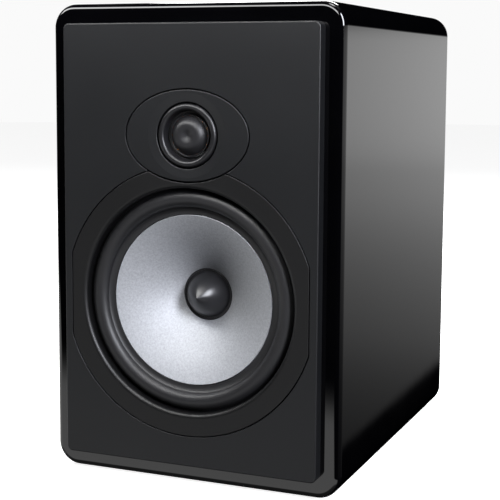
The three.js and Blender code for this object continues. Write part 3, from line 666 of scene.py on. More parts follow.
def flared_disc_tree(finish):
    """A disc that sinks from its edge to its neck by the cone's flare: shallow outside, steep inside."""
    sizes = ["Edge Radius", "Cap Radius", "Neck Radius", "Edge Depth", "Flare Depth", "Centre Height"]
    tree, given = new_tree("flared_disc", sizes, wants_shape=False)
    grid = node(tree, "GeometryNodeMeshGrid", {"Vertices X": 33, "Vertices Y": ROUND_STEPS + 1})
    flat = node(tree, "ShaderNodeSeparateXYZ", {0: node(tree, "GeometryNodeInputPosition").outputs[0]})
    radius = node(tree, "ShaderNodeMapRange", {
        "Value": flat.outputs["X"], "From Min": -0.5, "From Max": 0.5,
        "To Min": given["Edge Radius"], "To Max": given["Neck Radius"]}).outputs["Result"]
    angle = node(tree, "ShaderNodeMath",
                 {0: flat.outputs["Y"], 1: 2 * math.pi}, operation="MULTIPLY").outputs[0]
    inward = node(tree, "ShaderNodeMapRange", {
        "Value": radius, "From Min": given["Edge Radius"], "From Max": given["Cap Radius"]}, clamp=False)
    squared = node(tree, "ShaderNodeMath", {0: inward.outputs["Result"], 1: 2.0}, operation="POWER")
    curved = node(tree, "ShaderNodeMath", {0: squared.outputs[0], 1: CONE_CURVE}, operation="MULTIPLY")
    flare = node(tree, "ShaderNodeMath",
                 {0: inward.outputs["Result"], 1: 1 - CONE_CURVE, 2: curved.outputs[0]},
                 operation="MULTIPLY_ADD")
    depth = node(tree, "ShaderNodeMath",
                 {0: flare.outputs[0], 1: given["Flare Depth"], 2: given["Edge Depth"]},
                 operation="MULTIPLY_ADD")
    cosine = node(tree, "ShaderNodeMath", {0: angle}, operation="COSINE")
    sine = node(tree, "ShaderNodeMath", {0: angle}, operation="SINE")
    across = node(tree, "ShaderNodeMath", {0: radius, 1: cosine.outputs[0]}, operation="MULTIPLY")
    height = node(tree, "ShaderNodeMath", {0: radius, 1: sine.outputs[0], 2: given["Centre Height"]},
                  operation="MULTIPLY_ADD")
    place = node(tree, "ShaderNodeCombineXYZ",
                 {"X": across.outputs[0], "Y": depth.outputs[0], "Z": height.outputs[0]})
    bent = node(tree, "GeometryNodeSetPosition",
                {"Geometry": grid.outputs["Mesh"], "Position": place.outputs[0]})
    closed = node(tree, "GeometryNodeMergeByDistance", {"Geometry": bent.outputs[0], "Distance": WELD})
    return close_tree(tree, closed.outputs[0], finish)


# The share of a knob's radius at which its flutes begin.
WALL_STARTS = 0.84


def fluted_tree(name, finish):
    """Presses evenly spaced flutes into the outer wall of a round knob that lies along Y."""
    sizes = ["Centre X", "Centre Z", "Outer Radius", "Flute Count", "Flute Depth"]
    tree, given = new_tree(name, sizes)
    centre = node(tree, "ShaderNodeCombineXYZ", {"X": given["Centre X"], "Z": given["Centre Z"]})
    here = node(tree, "GeometryNodeInputPosition").outputs[0]
    arm = node(tree, "ShaderNodeVectorMath", {0: here, 1: centre.outputs[0]}, operation="SUBTRACT")
    flat = node(tree, "ShaderNodeVectorMath",
                {0: arm.outputs[0], 1: (1, 0, 1)}, operation="MULTIPLY").outputs[0]
    along = node(tree, "ShaderNodeSeparateXYZ", {0: flat})
    angle = node(tree, "ShaderNodeMath",
                 {0: along.outputs["Z"], 1: along.outputs["X"]}, operation="ARCTAN2")
    phase = node(tree, "ShaderNodeMath",
                 {0: angle.outputs[0], 1: given["Flute Count"]}, operation="MULTIPLY")
    wave = node(tree, "ShaderNodeMath", {0: phase.outputs[0]}, operation="COSINE")
    press = node(tree, "ShaderNodeMapRange", {
        "Value": wave.outputs[0], "From Min": -1.0, "From Max": 1.0,
        "To Min": given["Flute Depth"], "To Max": 0.0})
    reach = node(tree, "ShaderNodeVectorMath", {0: flat}, operation="LENGTH")
    share = node(tree, "ShaderNodeMath",
                 {0: reach.outputs["Value"], 1: given["Outer Radius"]}, operation="DIVIDE")
    on_wall = node(tree, "ShaderNodeMapRange", {"Value": share.outputs[0], "From Min": WALL_STARTS,
                                                "From Max": 1.0},
                   interpolation_type="SMOOTHSTEP")
    amount = node(tree, "ShaderNodeMath", {0: press.outputs["Result"], 1: on_wall.outputs["Result"]},
                  operation="MULTIPLY")
    outward = node(tree, "ShaderNodeVectorMath", {0: flat}, operation="NORMALIZE")
    shift = node(tree, "ShaderNodeVectorMath", {0: outward.outputs[0], "Scale": amount.outputs[0]},
                 operation="SCALE")
    inwards = node(tree, "ShaderNodeVectorMath", {0: shift.outputs[0], "Scale": -1.0}, operation="SCALE")
    pressed = node(tree, "GeometryNodeSetPosition",
                   {"Geometry": given["Geometry"], "Offset": inwards.outputs[0]})
    return close_tree(tree, pressed.outputs[0], finish)


def screw_tree(finish):
    """Sets a domed screw head with a hexagon socket, facing +Y, on every point."""
    tree, given = new_tree("socket_screws", ["Head Radius", "Head Height", "Socket Radius"])
    shoulder_share = 0.72
    socket_lift = 0.75
    shoulder = node(tree, "ShaderNodeMath",
                    {0: given["Head Radius"], 1: shoulder_share}, operation="MULTIPLY")
    head = node(tree, "GeometryNodeMeshCone", {
        "Vertices": 40, "Radius Top": shoulder.outputs[0], "Radius Bottom": given["Head Radius"],
        "Depth": given["Head Height"]})
    raised = node(tree, "ShaderNodeMath", {0: given["Head Height"], 1: socket_lift}, operation="MULTIPLY")
    lift = node(tree, "ShaderNodeCombineXYZ", {"Z": raised.outputs[0]})
    hexagon = node(tree, "GeometryNodeMeshCylinder", {
        "Vertices": 6, "Radius": given["Socket Radius"], "Depth": given["Head Height"]})
    socket = node(tree, "GeometryNodeTransform", {"Geometry": hexagon.outputs["Mesh"],
                                                  "Translation": lift.outputs[0]})
    drilled = node(tree, "GeometryNodeMeshBoolean", {"Mesh 1": head.outputs["Mesh"],
                                                     "Mesh 2": socket.outputs["Geometry"]})
    facing_back = Euler((-math.pi / 2, 0, 0))
    heads = node(tree, "GeometryNodeInstanceOnPoints", {
        "Points": given["Geometry"], "Instance": drilled.outputs["Mesh"], "Rotation": facing_back})
    return close_tree(tree, heads.outputs["Instances"], finish)


# ------------------------------------------------------------------ cabinet

def cabinet_shell():
    """The four mitred walls under one seamless coat of lacquer, rounded over at the front."""
    section = rounded([
        (0, 0, 4.4 * MM), (0, BACK - RIM, 1.6 * MM), (WALL, BACK - RIM, 0), (WALL, 0, 0),
    ], steps=10)
    loops = []
    for inset, depth in section:
        width, height = CABINET_WIDTH - 2 * inset, CABINET_HEIGHT - 2 * inset
        outline = rectangle(width, height, max(CORNER - inset, 1 * MM), steps=14)
        loops.append(upright(outline, CABINET_MIDDLE, depth))
    shell = flat_shaded(skin("lacquered_cabinet", loops, FINISHES["gloss_lacquer"]))
    fit(shell, "cabinet", "gloss_lacquer",
        "cabinet_top", "cabinet_right_side", "cabinet_bottom", "cabinet_left_side")


def rear_board():
    low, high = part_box("rear_panel")
    centre = Vector((0, BACK, (low.z + high.z) / 2))
    port = [p + Vector((0, PORT.z - centre.z)) for p in ellipse(PORT_FLANGE + GAP, PORT_FLANGE + GAP)]
    cup_size = extent("terminal_cup")
    cup = rectangle(cup_size.x + 2 * GAP, cup_size.z + 2 * GAP, CUP_CORNER + GAP)
    cup = [p + Vector((0, CUP.z - centre.z)) for p in cup]
    outline = rectangle(high.x - low.x, high.z - low.z, 1 * MM)
    panel = board("rear_board", outline, [port, cup], centre, (0, low.y - high.y), (0.5 * MM, 0.5 * MM),
                  FINISHES["rear_finish"])
    fit(panel, "cabinet", "rear_finish", "rear_panel")


def feet():
    """Four stick-on rubber feet, slightly domed, with a waist where they meet the cabinet."""
    for corner in ("front_left", "front_right", "rear_left", "rear_right"):
        low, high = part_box(f"foot_{corner}")
        place = Vector(((low.x + high.x) / 2, (low.y + high.y) / 2, 0))
        radius = (high.x - low.x) / 2
        outline = rounded([
            (0, 0, 0), (radius - 0.3 * MM, 0, 0.6 * MM), (radius, high.z - 0.4 * MM, 0.4 * MM),
            (radius - 0.6 * MM, high.z, 0), (0, high.z, 0),
        ], closed=False)
        foot = turned(f"rubber_foot_{corner}", outline, place, FINISHES["rubber"], upwards=True, steps=48)
        fit(foot, "cabinet", "rubber", f"foot_{corner}")


# ------------------------------------------------------------------ face plate and trim

def flatted_radius(angle, radius, flat):
    """Distance to the edge of a disc with its left and right sides cut straight."""
    across = abs(math.cos(angle))
    return min(radius, flat / across) if across > 0.1 else radius


def meeting_point(radius, wide, tall):
    """Where the tweeter's oval meets the woofer's circle, measured from the woofer's centre."""
    lift = TWEETER.z - WOOFER.z
    a, b, c = tall ** 2 - wide ** 2, -2 * lift * tall, wide ** 2 + lift ** 2 - radius ** 2
    cosine = (-b - math.sqrt(b * b - 4 * a * c)) / (2 * a)
    turn = math.acos(cosine)
    return turn, Vector((wide * math.sin(turn), lift - tall * cosine))


def aperture():
    """The one opening in the face plate that holds both the trim ring and the oval tweeter plate."""
    radius, flat = TRIM_RADIUS + GROOVE, TRIM_FLAT + GROOVE
    wide, tall = OVAL_WIDE + GROOVE, OVAL_TALL + GROOVE
    turn, meeting = meeting_point(radius, wide, tall)
    lift = TWEETER.z - WOOFER.z
    start = math.atan2(meeting.y, -meeting.x)
    sweep = 2 * math.pi - (start - math.atan2(meeting.y, meeting.x))
    corner = math.acos(flat / radius)
    stops = {start + sweep * step / ROUND_STEPS for step in range(ROUND_STEPS + 1)}
    stops |= {math.pi - corner, math.pi + corner, 2 * math.pi - corner, 2 * math.pi + corner}
    points = []
    for angle in sorted(stops):
        reach = flatted_radius(angle, radius, flat)
        points.append(Vector((reach * math.cos(angle), reach * math.sin(angle))))
    oval_steps = ROUND_STEPS // 2
    for step in range(1, oval_steps):
        around = turn + (2 * math.pi - 2 * turn) * step / oval_steps
        points.append(Vector((wide * math.sin(around), lift - tall * math.cos(around))))
    return points


def face_plate():
    size = extent("face_plate")
    centre = Vector((0, PLATE_FRONT, middle("face_plate").z))
    drop = Vector((0, WOOFER.z - centre.z))
    opening = [point + drop for point in aperture()]
    plate = board("satin_face_plate", rectangle(size.x, size.z, 4 * MM), [opening], centre, (0, size.y),
                  (0.9 * MM, 0.3 * MM), FINISHES["satin_plastic"])
    fit(plate, "cabinet", "satin_plastic", "face_plate")


def trim_reach(angle):
    """Distance from the woofer's centre to the trim ring's edge, where the oval plate cuts into its top."""
    reach = flatted_radius(angle, TRIM_RADIUS, TRIM_FLAT)
    lift = TWEETER.z - WOOFER.z
    wide, tall = OVAL_WIDE + GROOVE, OVAL_TALL + GROOVE
    x, z = math.cos(angle), math.sin(angle)
    a = (x / wide) ** 2 + (z / tall) ** 2
    b = -2 * z * lift / tall ** 2
    c = (lift / tall) ** 2 - 1
    inside = b * b - 4 * a * c
    if z > 0 and inside > 0:
        reach = min(reach, (-b - math.sqrt(inside)) / (2 * a))
    return reach


def woofer_trim():
    """The flat ring round the woofer: straight at its sides, and rolled over into its bore."""
    front = PLATE_FRONT - RIM
    edge = 0.35 * MM
    lip = 3 * MM
    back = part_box("woofer_trim_ring")[1].y - RIM
    corner = math.acos(TRIM_FLAT / TRIM_RADIUS)
    meeting = meeting_point(TRIM_RADIUS, OVAL_WIDE + GROOVE, OVAL_TALL + GROOVE)[1]
    notch = math.atan2(meeting.y, meeting.x)
    angles = {2 * math.pi * step / 240 for step in range(240)}
    angles |= {corner, math.pi - corner, math.pi + corner, 2 * math.pi - corner, notch, math.pi - notch}
    angles = sorted(angles)
    outer = rounded([(0, back, 0), (0, front, edge), (lip, front, 0)], closed=False)[:-1]
    inner = rounded([
        (TRIM_BORE + 2 * lip, front, 0), (TRIM_BORE, front, lip), (TRIM_BORE, back, 0),
    ], closed=False, steps=10)[1:]
    loops = []
    for inset, depth in outer:
        loops.append([WOOFER + Vector(((trim_reach(t) - GAP / 2 - inset) * math.cos(t), depth,
                                       (trim_reach(t) - GAP / 2 - inset) * math.sin(t))) for t in angles])
    for radius, depth in inner:
        loops.append([WOOFER + Vector((radius * math.cos(t), depth, radius * math.sin(t))) for t in angles])
    ring = flat_shaded(skin("woofer_trim", loops, FINISHES["dark_plastic"]))
    fit(ring, "cabinet", "dark_plastic", "woofer_trim_ring")


# ------------------------------------------------------------------ woofer

def cone_depth(radius):
    """Depth of the cone's front behind the rim, by the same rule as the flared disc."""
    inward = (CONE_RADIUS - radius) / (CONE_RADIUS - CAP_RADIUS)
    return CONE_EDGE_DEPTH + CONE_DEPTH * ((1 - CONE_CURVE) * inward + CONE_CURVE * inward ** 2)


def woofer_cone():
    cone = at_points("flared_cone", [])
    grow(cone, flared_disc_tree(FINISHES["silver_cone"]), {
        "Edge Radius": CONE_RADIUS, "Cap Radius": CAP_RADIUS, "Neck Radius": CONE_NECK,
        "Edge Depth": RIM + CONE_EDGE_DEPTH, "Flare Depth": CONE_DEPTH, "Centre Height": WOOFER.z,
    }, thickness=CONE_THICKNESS)
    fit(cone, "cone", "silver_cone", "woofer_cone")


def dust_cap():
    """A pointed bullet on a beaded rim, with a shadow groove between the two.

    The bullet's outline is part straight cone and part rounded shoulder.
    """
    seat = cone_depth(CAP_RADIUS) - 0.3 * MM
    bead = 0.55 * MM
    nose = CAP_RADIUS - 2.2 * MM
    rise = 19 * MM
    straight_part = 0.6
    groove_depth = 0.3 * MM
    wall = 0.8 * MM
    steps = 30
    outside = []
    inside = []
    for step in range(steps + 1):
        share = step / steps
        height = 1 - straight_part * share - (1 - straight_part) * share ** 3
        outside.append((nose * share, seat - wall - rise * height))
        inside.append(((nose - wall) * share, seat - (rise - wall) * height))
    groove = [(nose + 0.1 * MM, seat - groove_depth), (CAP_RADIUS - 2 * bead, seat - groove_depth)]
    rim = arc((CAP_RADIUS - bead, seat - bead), bead, 180, 360, 8)
    outline = [*outside, *groove, *rim, (CAP_RADIUS, seat), *reversed(inside)]
    outline = [(0.0 if radius < WELD else radius, depth) for radius, depth in outline]
    cap = turned("pointed_dust_cap", outline, WOOFER, DUST_CAP_FINISH)
    fit(cap, "cone", "dark_plastic", "woofer_dust_cap")


def stretch_between(piece, still_radius, moving_radius):
    """Makes a ring follow the cone at its inner radius, the cabinet at its outer one, and stretch between."""
    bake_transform(piece, "cabinet", "cone", start=WOOFER + Vector((still_radius, 0, 0)), end=WOOFER)
    weights = piece.data.attributes["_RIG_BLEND"]
    for vertex in piece.data.vertices:
        reach = math.hypot(vertex.co.x - WOOFER.x, vertex.co.z - WOOFER.z)
        share = (still_radius - reach) / (still_radius - moving_radius)
        share = min(max(share, 0), 1)
        weights.data[vertex.index].value = share * share * (3 - 2 * share)


def woofer_surround():
    """A half-round roll of rubber between a flange under the trim and a flat landing on the cone."""
    middle_radius = (LANDING_OUTER + ROLL_OUTER) / 2
    roll = (ROLL_OUTER - LANDING_OUTER) / 2
    outer = 79.5 * MM
    wall = 0.8 * MM
    top = arc((middle_radius, 0), roll, 180, 360, 26)
    under = arc((middle_radius, wall), roll - wall, 360, 180, 26)
    landing = rounded([
        (LANDING_OUTER, wall, 0), (LANDING_INNER, wall, 0), (LANDING_INNER, 0, 0.35 * MM),
        (LANDING_OUTER, 0, 0),
    ], closed=False)
    outline = [*landing[:-1], *top, (outer, 0), (outer, wall), *under]
    surround = turned("rubber_surround", outline, WOOFER, FINISHES["rubber"])
    surround.data.set_sharp_from_angle(angle=math.radians(100))
    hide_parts("woofer_surround")
    stretch_between(surround, ROLL_OUTER, LANDING_OUTER)


def woofer_spider():
    """A cloth disc pressed into rings of waves, which keeps the voice coil centred."""
    low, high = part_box("woofer_spider")
    inner = 14.2 * MM
    wall = 0.6 * MM
    depth = (low.y + high.y) / 2 - RIM
    steps = 72
    waves = 6
    front = []
    for step in range(steps + 1):
        share = step / steps
        swing = 0.8 * MM * math.sin(2 * math.pi * waves * share)
        front.append((inner + (SPIDER_OUTER - inner) * share, depth - wall / 2 + swing))
    back = [(radius, y + wall) for radius, y in reversed(front)]
    spider = turned("corrugated_spider", [*front, *back], WOOFER, FINISHES["spider_cloth"], steps=96)
    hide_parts("woofer_spider")
    stretch_between(spider, SPIDER_OUTER - 1 * MM, inner + 1 * MM)


# ------------------------------------------------------------------ tweeter

def tweeter_plate():
    """The oval plate, with a shallow dish that leads down to the dome's ring."""
    front = PLATE_FRONT - RIM
    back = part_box("tweeter_faceplate")[1].y - RIM
    bore = DOME_RADIUS + 7.8 * MM
    dish = bore + 6 * MM
    edge = 0.5 * MM
    outer = rounded([(0, back, 0), (0, front, edge), (4 * MM, front, 0)], closed=False)[:-1]
    inner = rounded([
        (dish + 4 * MM, front, 0), (dish, front, 4 * MM), (bore, front + 1 * MM, 0.5 * MM), (bore, back, 0),
    ], closed=False)[1:]
    wide, tall = OVAL_WIDE - GAP, OVAL_TALL - GAP
    loops = [upright(ellipse(wide - inset, tall - inset), TWEETER, depth) for inset, depth in outer]
    loops += [upright(ellipse(radius, radius), TWEETER, depth) for radius, depth in inner]
    plate = flat_shaded(skin("oval_tweeter_plate", loops, FINISHES["satin_plastic"]))
    fit(plate, "cabinet", "satin_plastic", "tweeter_faceplate")


def tweeter_lip():
    """A half-round ring about the dome's well, with a black groove outside it."""
    inner, outer, half = DOME_RADIUS + 1.7 * MM, DOME_RADIUS + 6.7 * MM, 2.1 * MM
    front = PLATE_FRONT - RIM
    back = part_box("tweeter_lip_ring")[1].y - RIM
    crown = arc((outer - half, front + half), half, 180, 360, 24)
    outline = [Vector((inner, back)), Vector((inner, front + 2 * half)), *crown, Vector((outer, back))]
    lip = turned("tweeter_lip", outline, TWEETER, LIP_FINISH)
    fit(lip, "cabinet", "satin_plastic", "tweeter_lip_ring")


def tweeter_body():
    low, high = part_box("tweeter_chassis")
    front, back = low.y - RIM, high.y - RIM
    bore, flange, body, wall = DOME_RADIUS + 0.6 * MM, 29 * MM, 24.2 * MM, 1.6 * MM
    shoulder = front + 2 * MM
    outline = rounded([
        (bore, front, 0.3 * MM), (flange, front, 0), (flange, shoulder, 0), (body, shoulder, 0),
        (body, back, 0), (body - wall, back, 0), (body - wall, shoulder, 0), (bore, shoulder, 0),
    ])
    chassis = turned("tweeter_body", outline, TWEETER, FINISHES["black_plastic"])
    fit(chassis, "cabinet", "black_plastic", "tweeter_chassis")


def tweeter_dome():
    """A silk dome whose top turns in to a small dimple, on a narrow edge pressed into a round groove."""
    crest, crest_depth, dimple_depth, edge_depth = 6.2 * MM, -8.85 * MM, -7 * MM, -4 * MM
    wall = 0.4 * MM
    roll = 0.9 * MM
    skirt = DOME_RADIUS - 2 * roll
    steps = 14
    front = [(0.0, dimple_depth)]
    for step in range(1, steps + 1):
        share = step / steps
        rise = math.sin(math.pi / 2 * share) ** 1.4
        front.append((crest * share, dimple_depth + (crest_depth - dimple_depth) * rise))
    for step in range(1, steps + 1):
        share = step / steps
        fall = share ** 2.2
        front.append((crest + (skirt - crest) * share, crest_depth + (edge_depth - crest_depth) * fall))
    front += [(point.x, point.y) for point in arc((DOME_RADIUS - roll, edge_depth), roll * 0.8, 170, 10, 8)]
    front.append((DOME_RADIUS, edge_depth))
    back = [(radius, depth + wall) for radius, depth in reversed(front)]
    dome = turned("silk_dome", [*front, *back], TWEETER, FINISHES["soft_dome"])
    dome.data.set_sharp_from_angle(angle=math.radians(75))
    fit(dome, "dome", "soft_dome", "tweeter_dome")


# ------------------------------------------------------------------ bass port

def port_mouth():
    """The port's flange, sunk just below the rear board, and the flare that runs into its bore."""
    mouth, flange_back, throat = 33 * MM, -3 * MM, -20 * MM
    socket, outside, end = 24.8 * MM, 27.3 * MM, -34 * MM
    steps = 20
    flare = []
    for step in range(steps + 1):
        turn = math.pi / 2 * step / steps
        flare.append((mouth - (mouth - PORT_BORE) * math.sin(turn),
                      -SUNK + (throat + SUNK) * (1 - math.cos(turn))))
    rim = rounded([
        (mouth, -SUNK, 0), (PORT_FLANGE, -SUNK, 0.5 * MM), (PORT_FLANGE, flange_back, 0),
        (mouth - 0.5 * MM, flange_back, 0), (outside, -14 * MM, 0), (outside, end, 0), (socket, end, 0),
        (socket, throat, 0), (PORT_BORE, throat, 0),
    ], closed=False)
    outline = [*rim[:-1], *reversed(flare[1:])]
    mouthpiece = turned("flared_port_mouth", outline, PORT, FINISHES["black_plastic"])
    fit(mouthpiece, "cabinet", "black_plastic", "port_flange")


def port_pipe():
    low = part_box("port_tube")[0].y - BACK
    wall, start, flare = 2.5 * MM, -20.3 * MM, 7 * MM
    outline = rounded([
        (PORT_BORE, start, 0), (PORT_BORE + wall, start, 0), (PORT_BORE + wall, low + 2 * flare, 6 * MM),
        (PORT_BORE + wall + flare, low, 0), (PORT_BORE + flare, low, 1 * MM),
        (PORT_BORE + 0.1 * MM, low + 2 * flare, 6 * MM),
    ])
    pipe = turned("port_pipe", outline, PORT, FINISHES["black_plastic"])
    fit(pipe, "cabinet", "black_plastic", "port_tube")


# ------------------------------------------------------------------ terminals

def terminal_cup():
    """A moulded tub sunk into the rear board, with a drafted pocket and a rounded mouth."""
    size = extent("terminal_cup")
    tub_width, tub_height, wall = 82 * MM, 52 * MM, 2.5 * MM
    pocket_width, pocket_height = tub_width - 2 * wall, tub_height - 2 * wall
    draft = 1.5 * MM
    loops = []

    def add_loops(width, height, corner, section):
        for inset, depth in section:
            rounding = max(corner - inset, 0.3 * MM)
            outline = rectangle(width - 2 * inset, height - 2 * inset, rounding, steps=8)
            loops.append(upright(outline, CUP, depth))

    pocket = rounded([
        (12 * MM, CUP_FLOOR, 0), (draft, CUP_FLOOR, 2.5 * MM), (0, -SUNK, 1.2 * MM), (-5 * MM, -SUNK, 0),
    ], closed=False)[:-1]
    rim = rounded([(4 * MM, -SUNK, 0), (0, -SUNK, 0.5 * MM), (0, -2.5 * MM, 0)], closed=False)[1:]
    add_loops(pocket_width, pocket_height, 5 * MM, pocket)
    add_loops(size.x, size.z, CUP_CORNER, rim)
    add_loops(tub_width, tub_height, 6 * MM, [(0, -2.5 * MM), (0, CUP_FLOOR - 3 * MM)])
    cup = flat_shaded(skin("terminal_tub", loops, FINISHES["black_plastic"], ends="capped"))
    fit(cup, "cabinet", "black_plastic", "terminal_cup")


def threaded(radius, start, end, pitch):
    """The crests and roots of a screw thread between two depths."""
    count = round(abs(end - start) / pitch * 2)
    root = radius - 0.35 * MM
    return [(radius if step % 2 else root, start + (end - start) * step / count)
            for step in range(count + 1)]


def binding_post(colour, slot):
    """A gilt stud and clamp washer, an insulating collar and a fluted knob that runs on the thread."""
    place = Vector((middle(f"post_stud_{colour}").x, BACK, CUP.z))
    stud_low, stud_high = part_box(f"post_stud_{colour}")
    tip, tail = stud_high.y - BACK, stud_low.y - BACK
    plug_bore, bore_end = 2 * MM, -20 * MM
    clear_bore, washer_bore = 3.4 * MM, 3.5 * MM
    collar_radius, washer_radius = 8 * MM, 6.6 * MM
    thread = threaded(3 * MM, tail, tip - 0.8 * MM, 1 * MM)
    mouth = [(2.7 * MM, tip), (plug_bore + 0.3 * MM, tip), (plug_bore, tip - 0.4 * MM)]
    stud = turned(f"gilt_stud_{colour}", [(0, tail), *thread, *mouth, (plug_bore, bore_end), (0, bore_end)],
                  place, FINISHES["gilt"], steps=64)
    fit(stud, "cabinet", "gilt", f"post_stud_{colour}")

    low, high = (corner.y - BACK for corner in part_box(f"post_collar_{colour}"))
    collar = turned(f"insulating_collar_{colour}", rounded([
        (clear_bore, low, 0), (collar_radius, low, 0), (collar_radius, high, 0.8 * MM),
        (clear_bore, high, 0.3 * MM),
    ]), place, FINISHES[slot], steps=96)
    fit(collar, "cabinet", slot, f"post_collar_{colour}")

    low, high = (corner.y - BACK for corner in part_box(f"post_washer_{colour}"))
    washer = turned(f"clamp_washer_{colour}", rounded([
        (washer_bore, low, 0), (washer_radius, low, 0.3 * MM), (washer_radius, high, 0.3 * MM),
        (washer_bore, high, 0),
    ]), place, FINISHES["gilt"], steps=96)
    fit(washer, f"{colour}_washer", "gilt", f"post_washer_{colour}")

    low, high = (corner.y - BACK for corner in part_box(f"post_knob_{colour}"))
    radius = extent(f"post_knob_{colour}").x / 2
    knob = turned(f"fluted_knob_{colour}", rounded([
        (clear_bore, low, 0), (radius - 1 * MM, low, 0), (radius - 1 * MM, low + 1.4 * MM, 0.3 * MM),
        (radius, low + 2 * MM, 0.4 * MM), (radius, high, 1.2 * MM), (5.2 * MM, high, 0.4 * MM),
        (4.8 * MM, high - 1 * MM, 0.3 * MM), (clear_bore, high - 1 * MM, 0),
    ]), place, FINISHES[slot], steps=240)
    grow(knob, fluted_tree(f"knob_flutes_{colour}", FINISHES[slot]), {
        "Centre X": place.x, "Centre Z": place.z, "Outer Radius": radius, "Flute Count": 24,
        "Flute Depth": 0.55 * MM,
    })
    fit(knob, f"{colour}_knob", slot, f"post_knob_{colour}")


def rear_screws():
    """Eight socket screws: four hold the port's flange and four the terminal cup's."""
    head_height = SUNK - 0.05 * MM
    ring = (PORT_FLANGE + 33 * MM) / 2
    spots = [PORT + Vector((ring * math.cos(t), 0, ring * math.sin(t)))
             for t in (math.pi / 4 * odd for odd in (1, 3, 5, 7))]
    flange = extent("terminal_cup")
    inset = 4.6 * MM
    spots += [CUP + Vector((x * (flange.x / 2 - inset), 0, z * (flange.z / 2 - inset)))
              for x in (-1, 1) for z in (-1, 1)]
    seat = Vector((0, -SUNK, 0))
    screws = at_points("rear_screws", [spot + seat for spot in spots])
    grow(screws, screw_tree(BLACKENED_STEEL), {
        "Head Radius": 2.7 * MM, "Head Height": head_height, "Socket Radius": 1.25 * MM,
    })
    fit(screws, "cabinet", "steel")


# ------------------------------------------------------------------ studio

def studio_camera():
    """A long lens to the right of the front and a little above the middle, rolled by a fraction of a degree.

    Its view is shifted a little, which keeps the upright edges nearly parallel.
    """
    aim = Vector((41.48 * MM, RIM, 189.11 * MM))
    azimuth, elevation, roll = math.radians(22.563), math.radians(6.32), math.radians(0.333)
    distance = 806.63 * MM
    back = Vector((math.sin(azimuth) * math.cos(elevation), -math.cos(azimuth) * math.cos(elevation),
                   math.sin(elevation)))
    lens = bpy.data.cameras.new("studio_camera")
    lens.sensor_width = 36
    lens.lens = 89.553
    lens.shift_y = -0.08
    lens.clip_start = 0.05
    camera = bpy.data.objects.new("studio_camera", lens)
    camera.location = aim + back * distance
    camera.rotation_mode = "QUATERNION"
    camera.rotation_quaternion = (-back).to_track_quat("-Z", "Y") @ Euler((0, 0, roll)).to_quaternion()
    scene.collection.objects.link(camera)
    scene.camera = camera


def softbox(name, place, aim, size, power, tint="#ffffff"):
    lamp = bpy.data.lights.new(name, "AREA")
    lamp.shape = "RECTANGLE"
    lamp.size, lamp.size_y = size
    lamp.energy = power
    lamp.color = linear(tint)[:3]
    light = bpy.data.objects.new(name, lamp)
    light.location = place
    light.rotation_mode = "QUATERNION"
    light.rotation_quaternion = (Vector(aim) - Vector(place)).to_track_quat("-Z", "Y")
    light.visible_camera = False
    scene.collection.objects.link(light)


def pale_floor():
    """Matt white board that glows a little, so that it stays pale under any light, faintly mottled."""
    f = Finish("pale_matt_floor")
    mottle = node(f.tree, "ShaderNodeTexNoise", {"Vector": f.place, "Scale": 3.0, "Detail": 3.0})
    colour = node(f.tree, "ShaderNodeMix",
                  {0: mottle.outputs["Fac"], 6: linear("#f2f2f2"), 7: linear("#f5f5f5")},
                  data_type="RGBA")
    return f.surface(Base_Color=colour.outputs[2], Roughness=0.9, Emission_Color=linear("#ffffff"),
                     Emission_Strength=0.9)


def studio_floor():
    """A pale round floor that only the camera sees, so that the loudspeaker mirrors the studio instead."""
    body = bmesh.new()
    bmesh.ops.create_circle(body, cap_ends=True, segments=96, radius=6)
    floor = solid("studio_floor", body, pale_floor())
    floor.visible_glossy = False
    floor.visible_diffuse = False


# Brightness of the mirrored walls by the height of the direction that is seen, from -1 (down) to 1 (up).
BEHIND_BY_HEIGHT = [(-0.45, 0.01), (-0.31, 0.05), (-0.2, 0.27), (-0.08, 0.9), (0.0, 1.3), (0.025, 1.25),
                    (0.075, 0.0), (0.75, 0.0), (0.9, 0.5), (1.0, 0.6)]
BEFORE_BY_HEIGHT = [(-1.0, 0.1), (-0.57, 0.3), (-0.45, 1.7), (-0.325, 1.6), (-0.29, 0.0), (0.5, 0.0),
                    (0.8, 0.0), (1.0, 0.1)]

# The bands of the wall in front climb by FRONT_SLANT from one side to the other. The dark table falls
# away to the sides by TABLE_EDGE. The wall in front gives way to the one behind along WALLS_MEET.
FRONT_SLANT = 0.15
TABLE_EDGE = 1.0
WALLS_MEET = 0.6

# The share of the walls' light that matt surfaces receive.
WALLS_ON_MATT = 0.18


def ramp(tree, value, stops):
    """A smooth run of brightness over a value, from (value, brightness) stops."""
    low, high = stops[0][0], stops[-1][0]
    share = node(tree, "ShaderNodeMapRange", {"Value": value, "From Min": low, "From Max": high})
    curve = node(tree, "ShaderNodeFloatCurve", {"Value": share.outputs["Result"]})
    line = curve.mapping.curves[0]
    top = max(level for _, level in stops)
    for number, (place, level) in enumerate(stops):
        spot = ((place - low) / (high - low), level / top)
        if number in (0, len(stops) - 1):
            line.points[0 if number == 0 else -1].location = spot
        else:
            line.points.new(*spot)
    for point in line.points:
        point.handle_type = "AUTO_CLAMPED"
    curve.mapping.update()
    return node(tree, "ShaderNodeMath", {0: curve.outputs["Value"], 1: top}, operation="MULTIPLY").outputs[0]


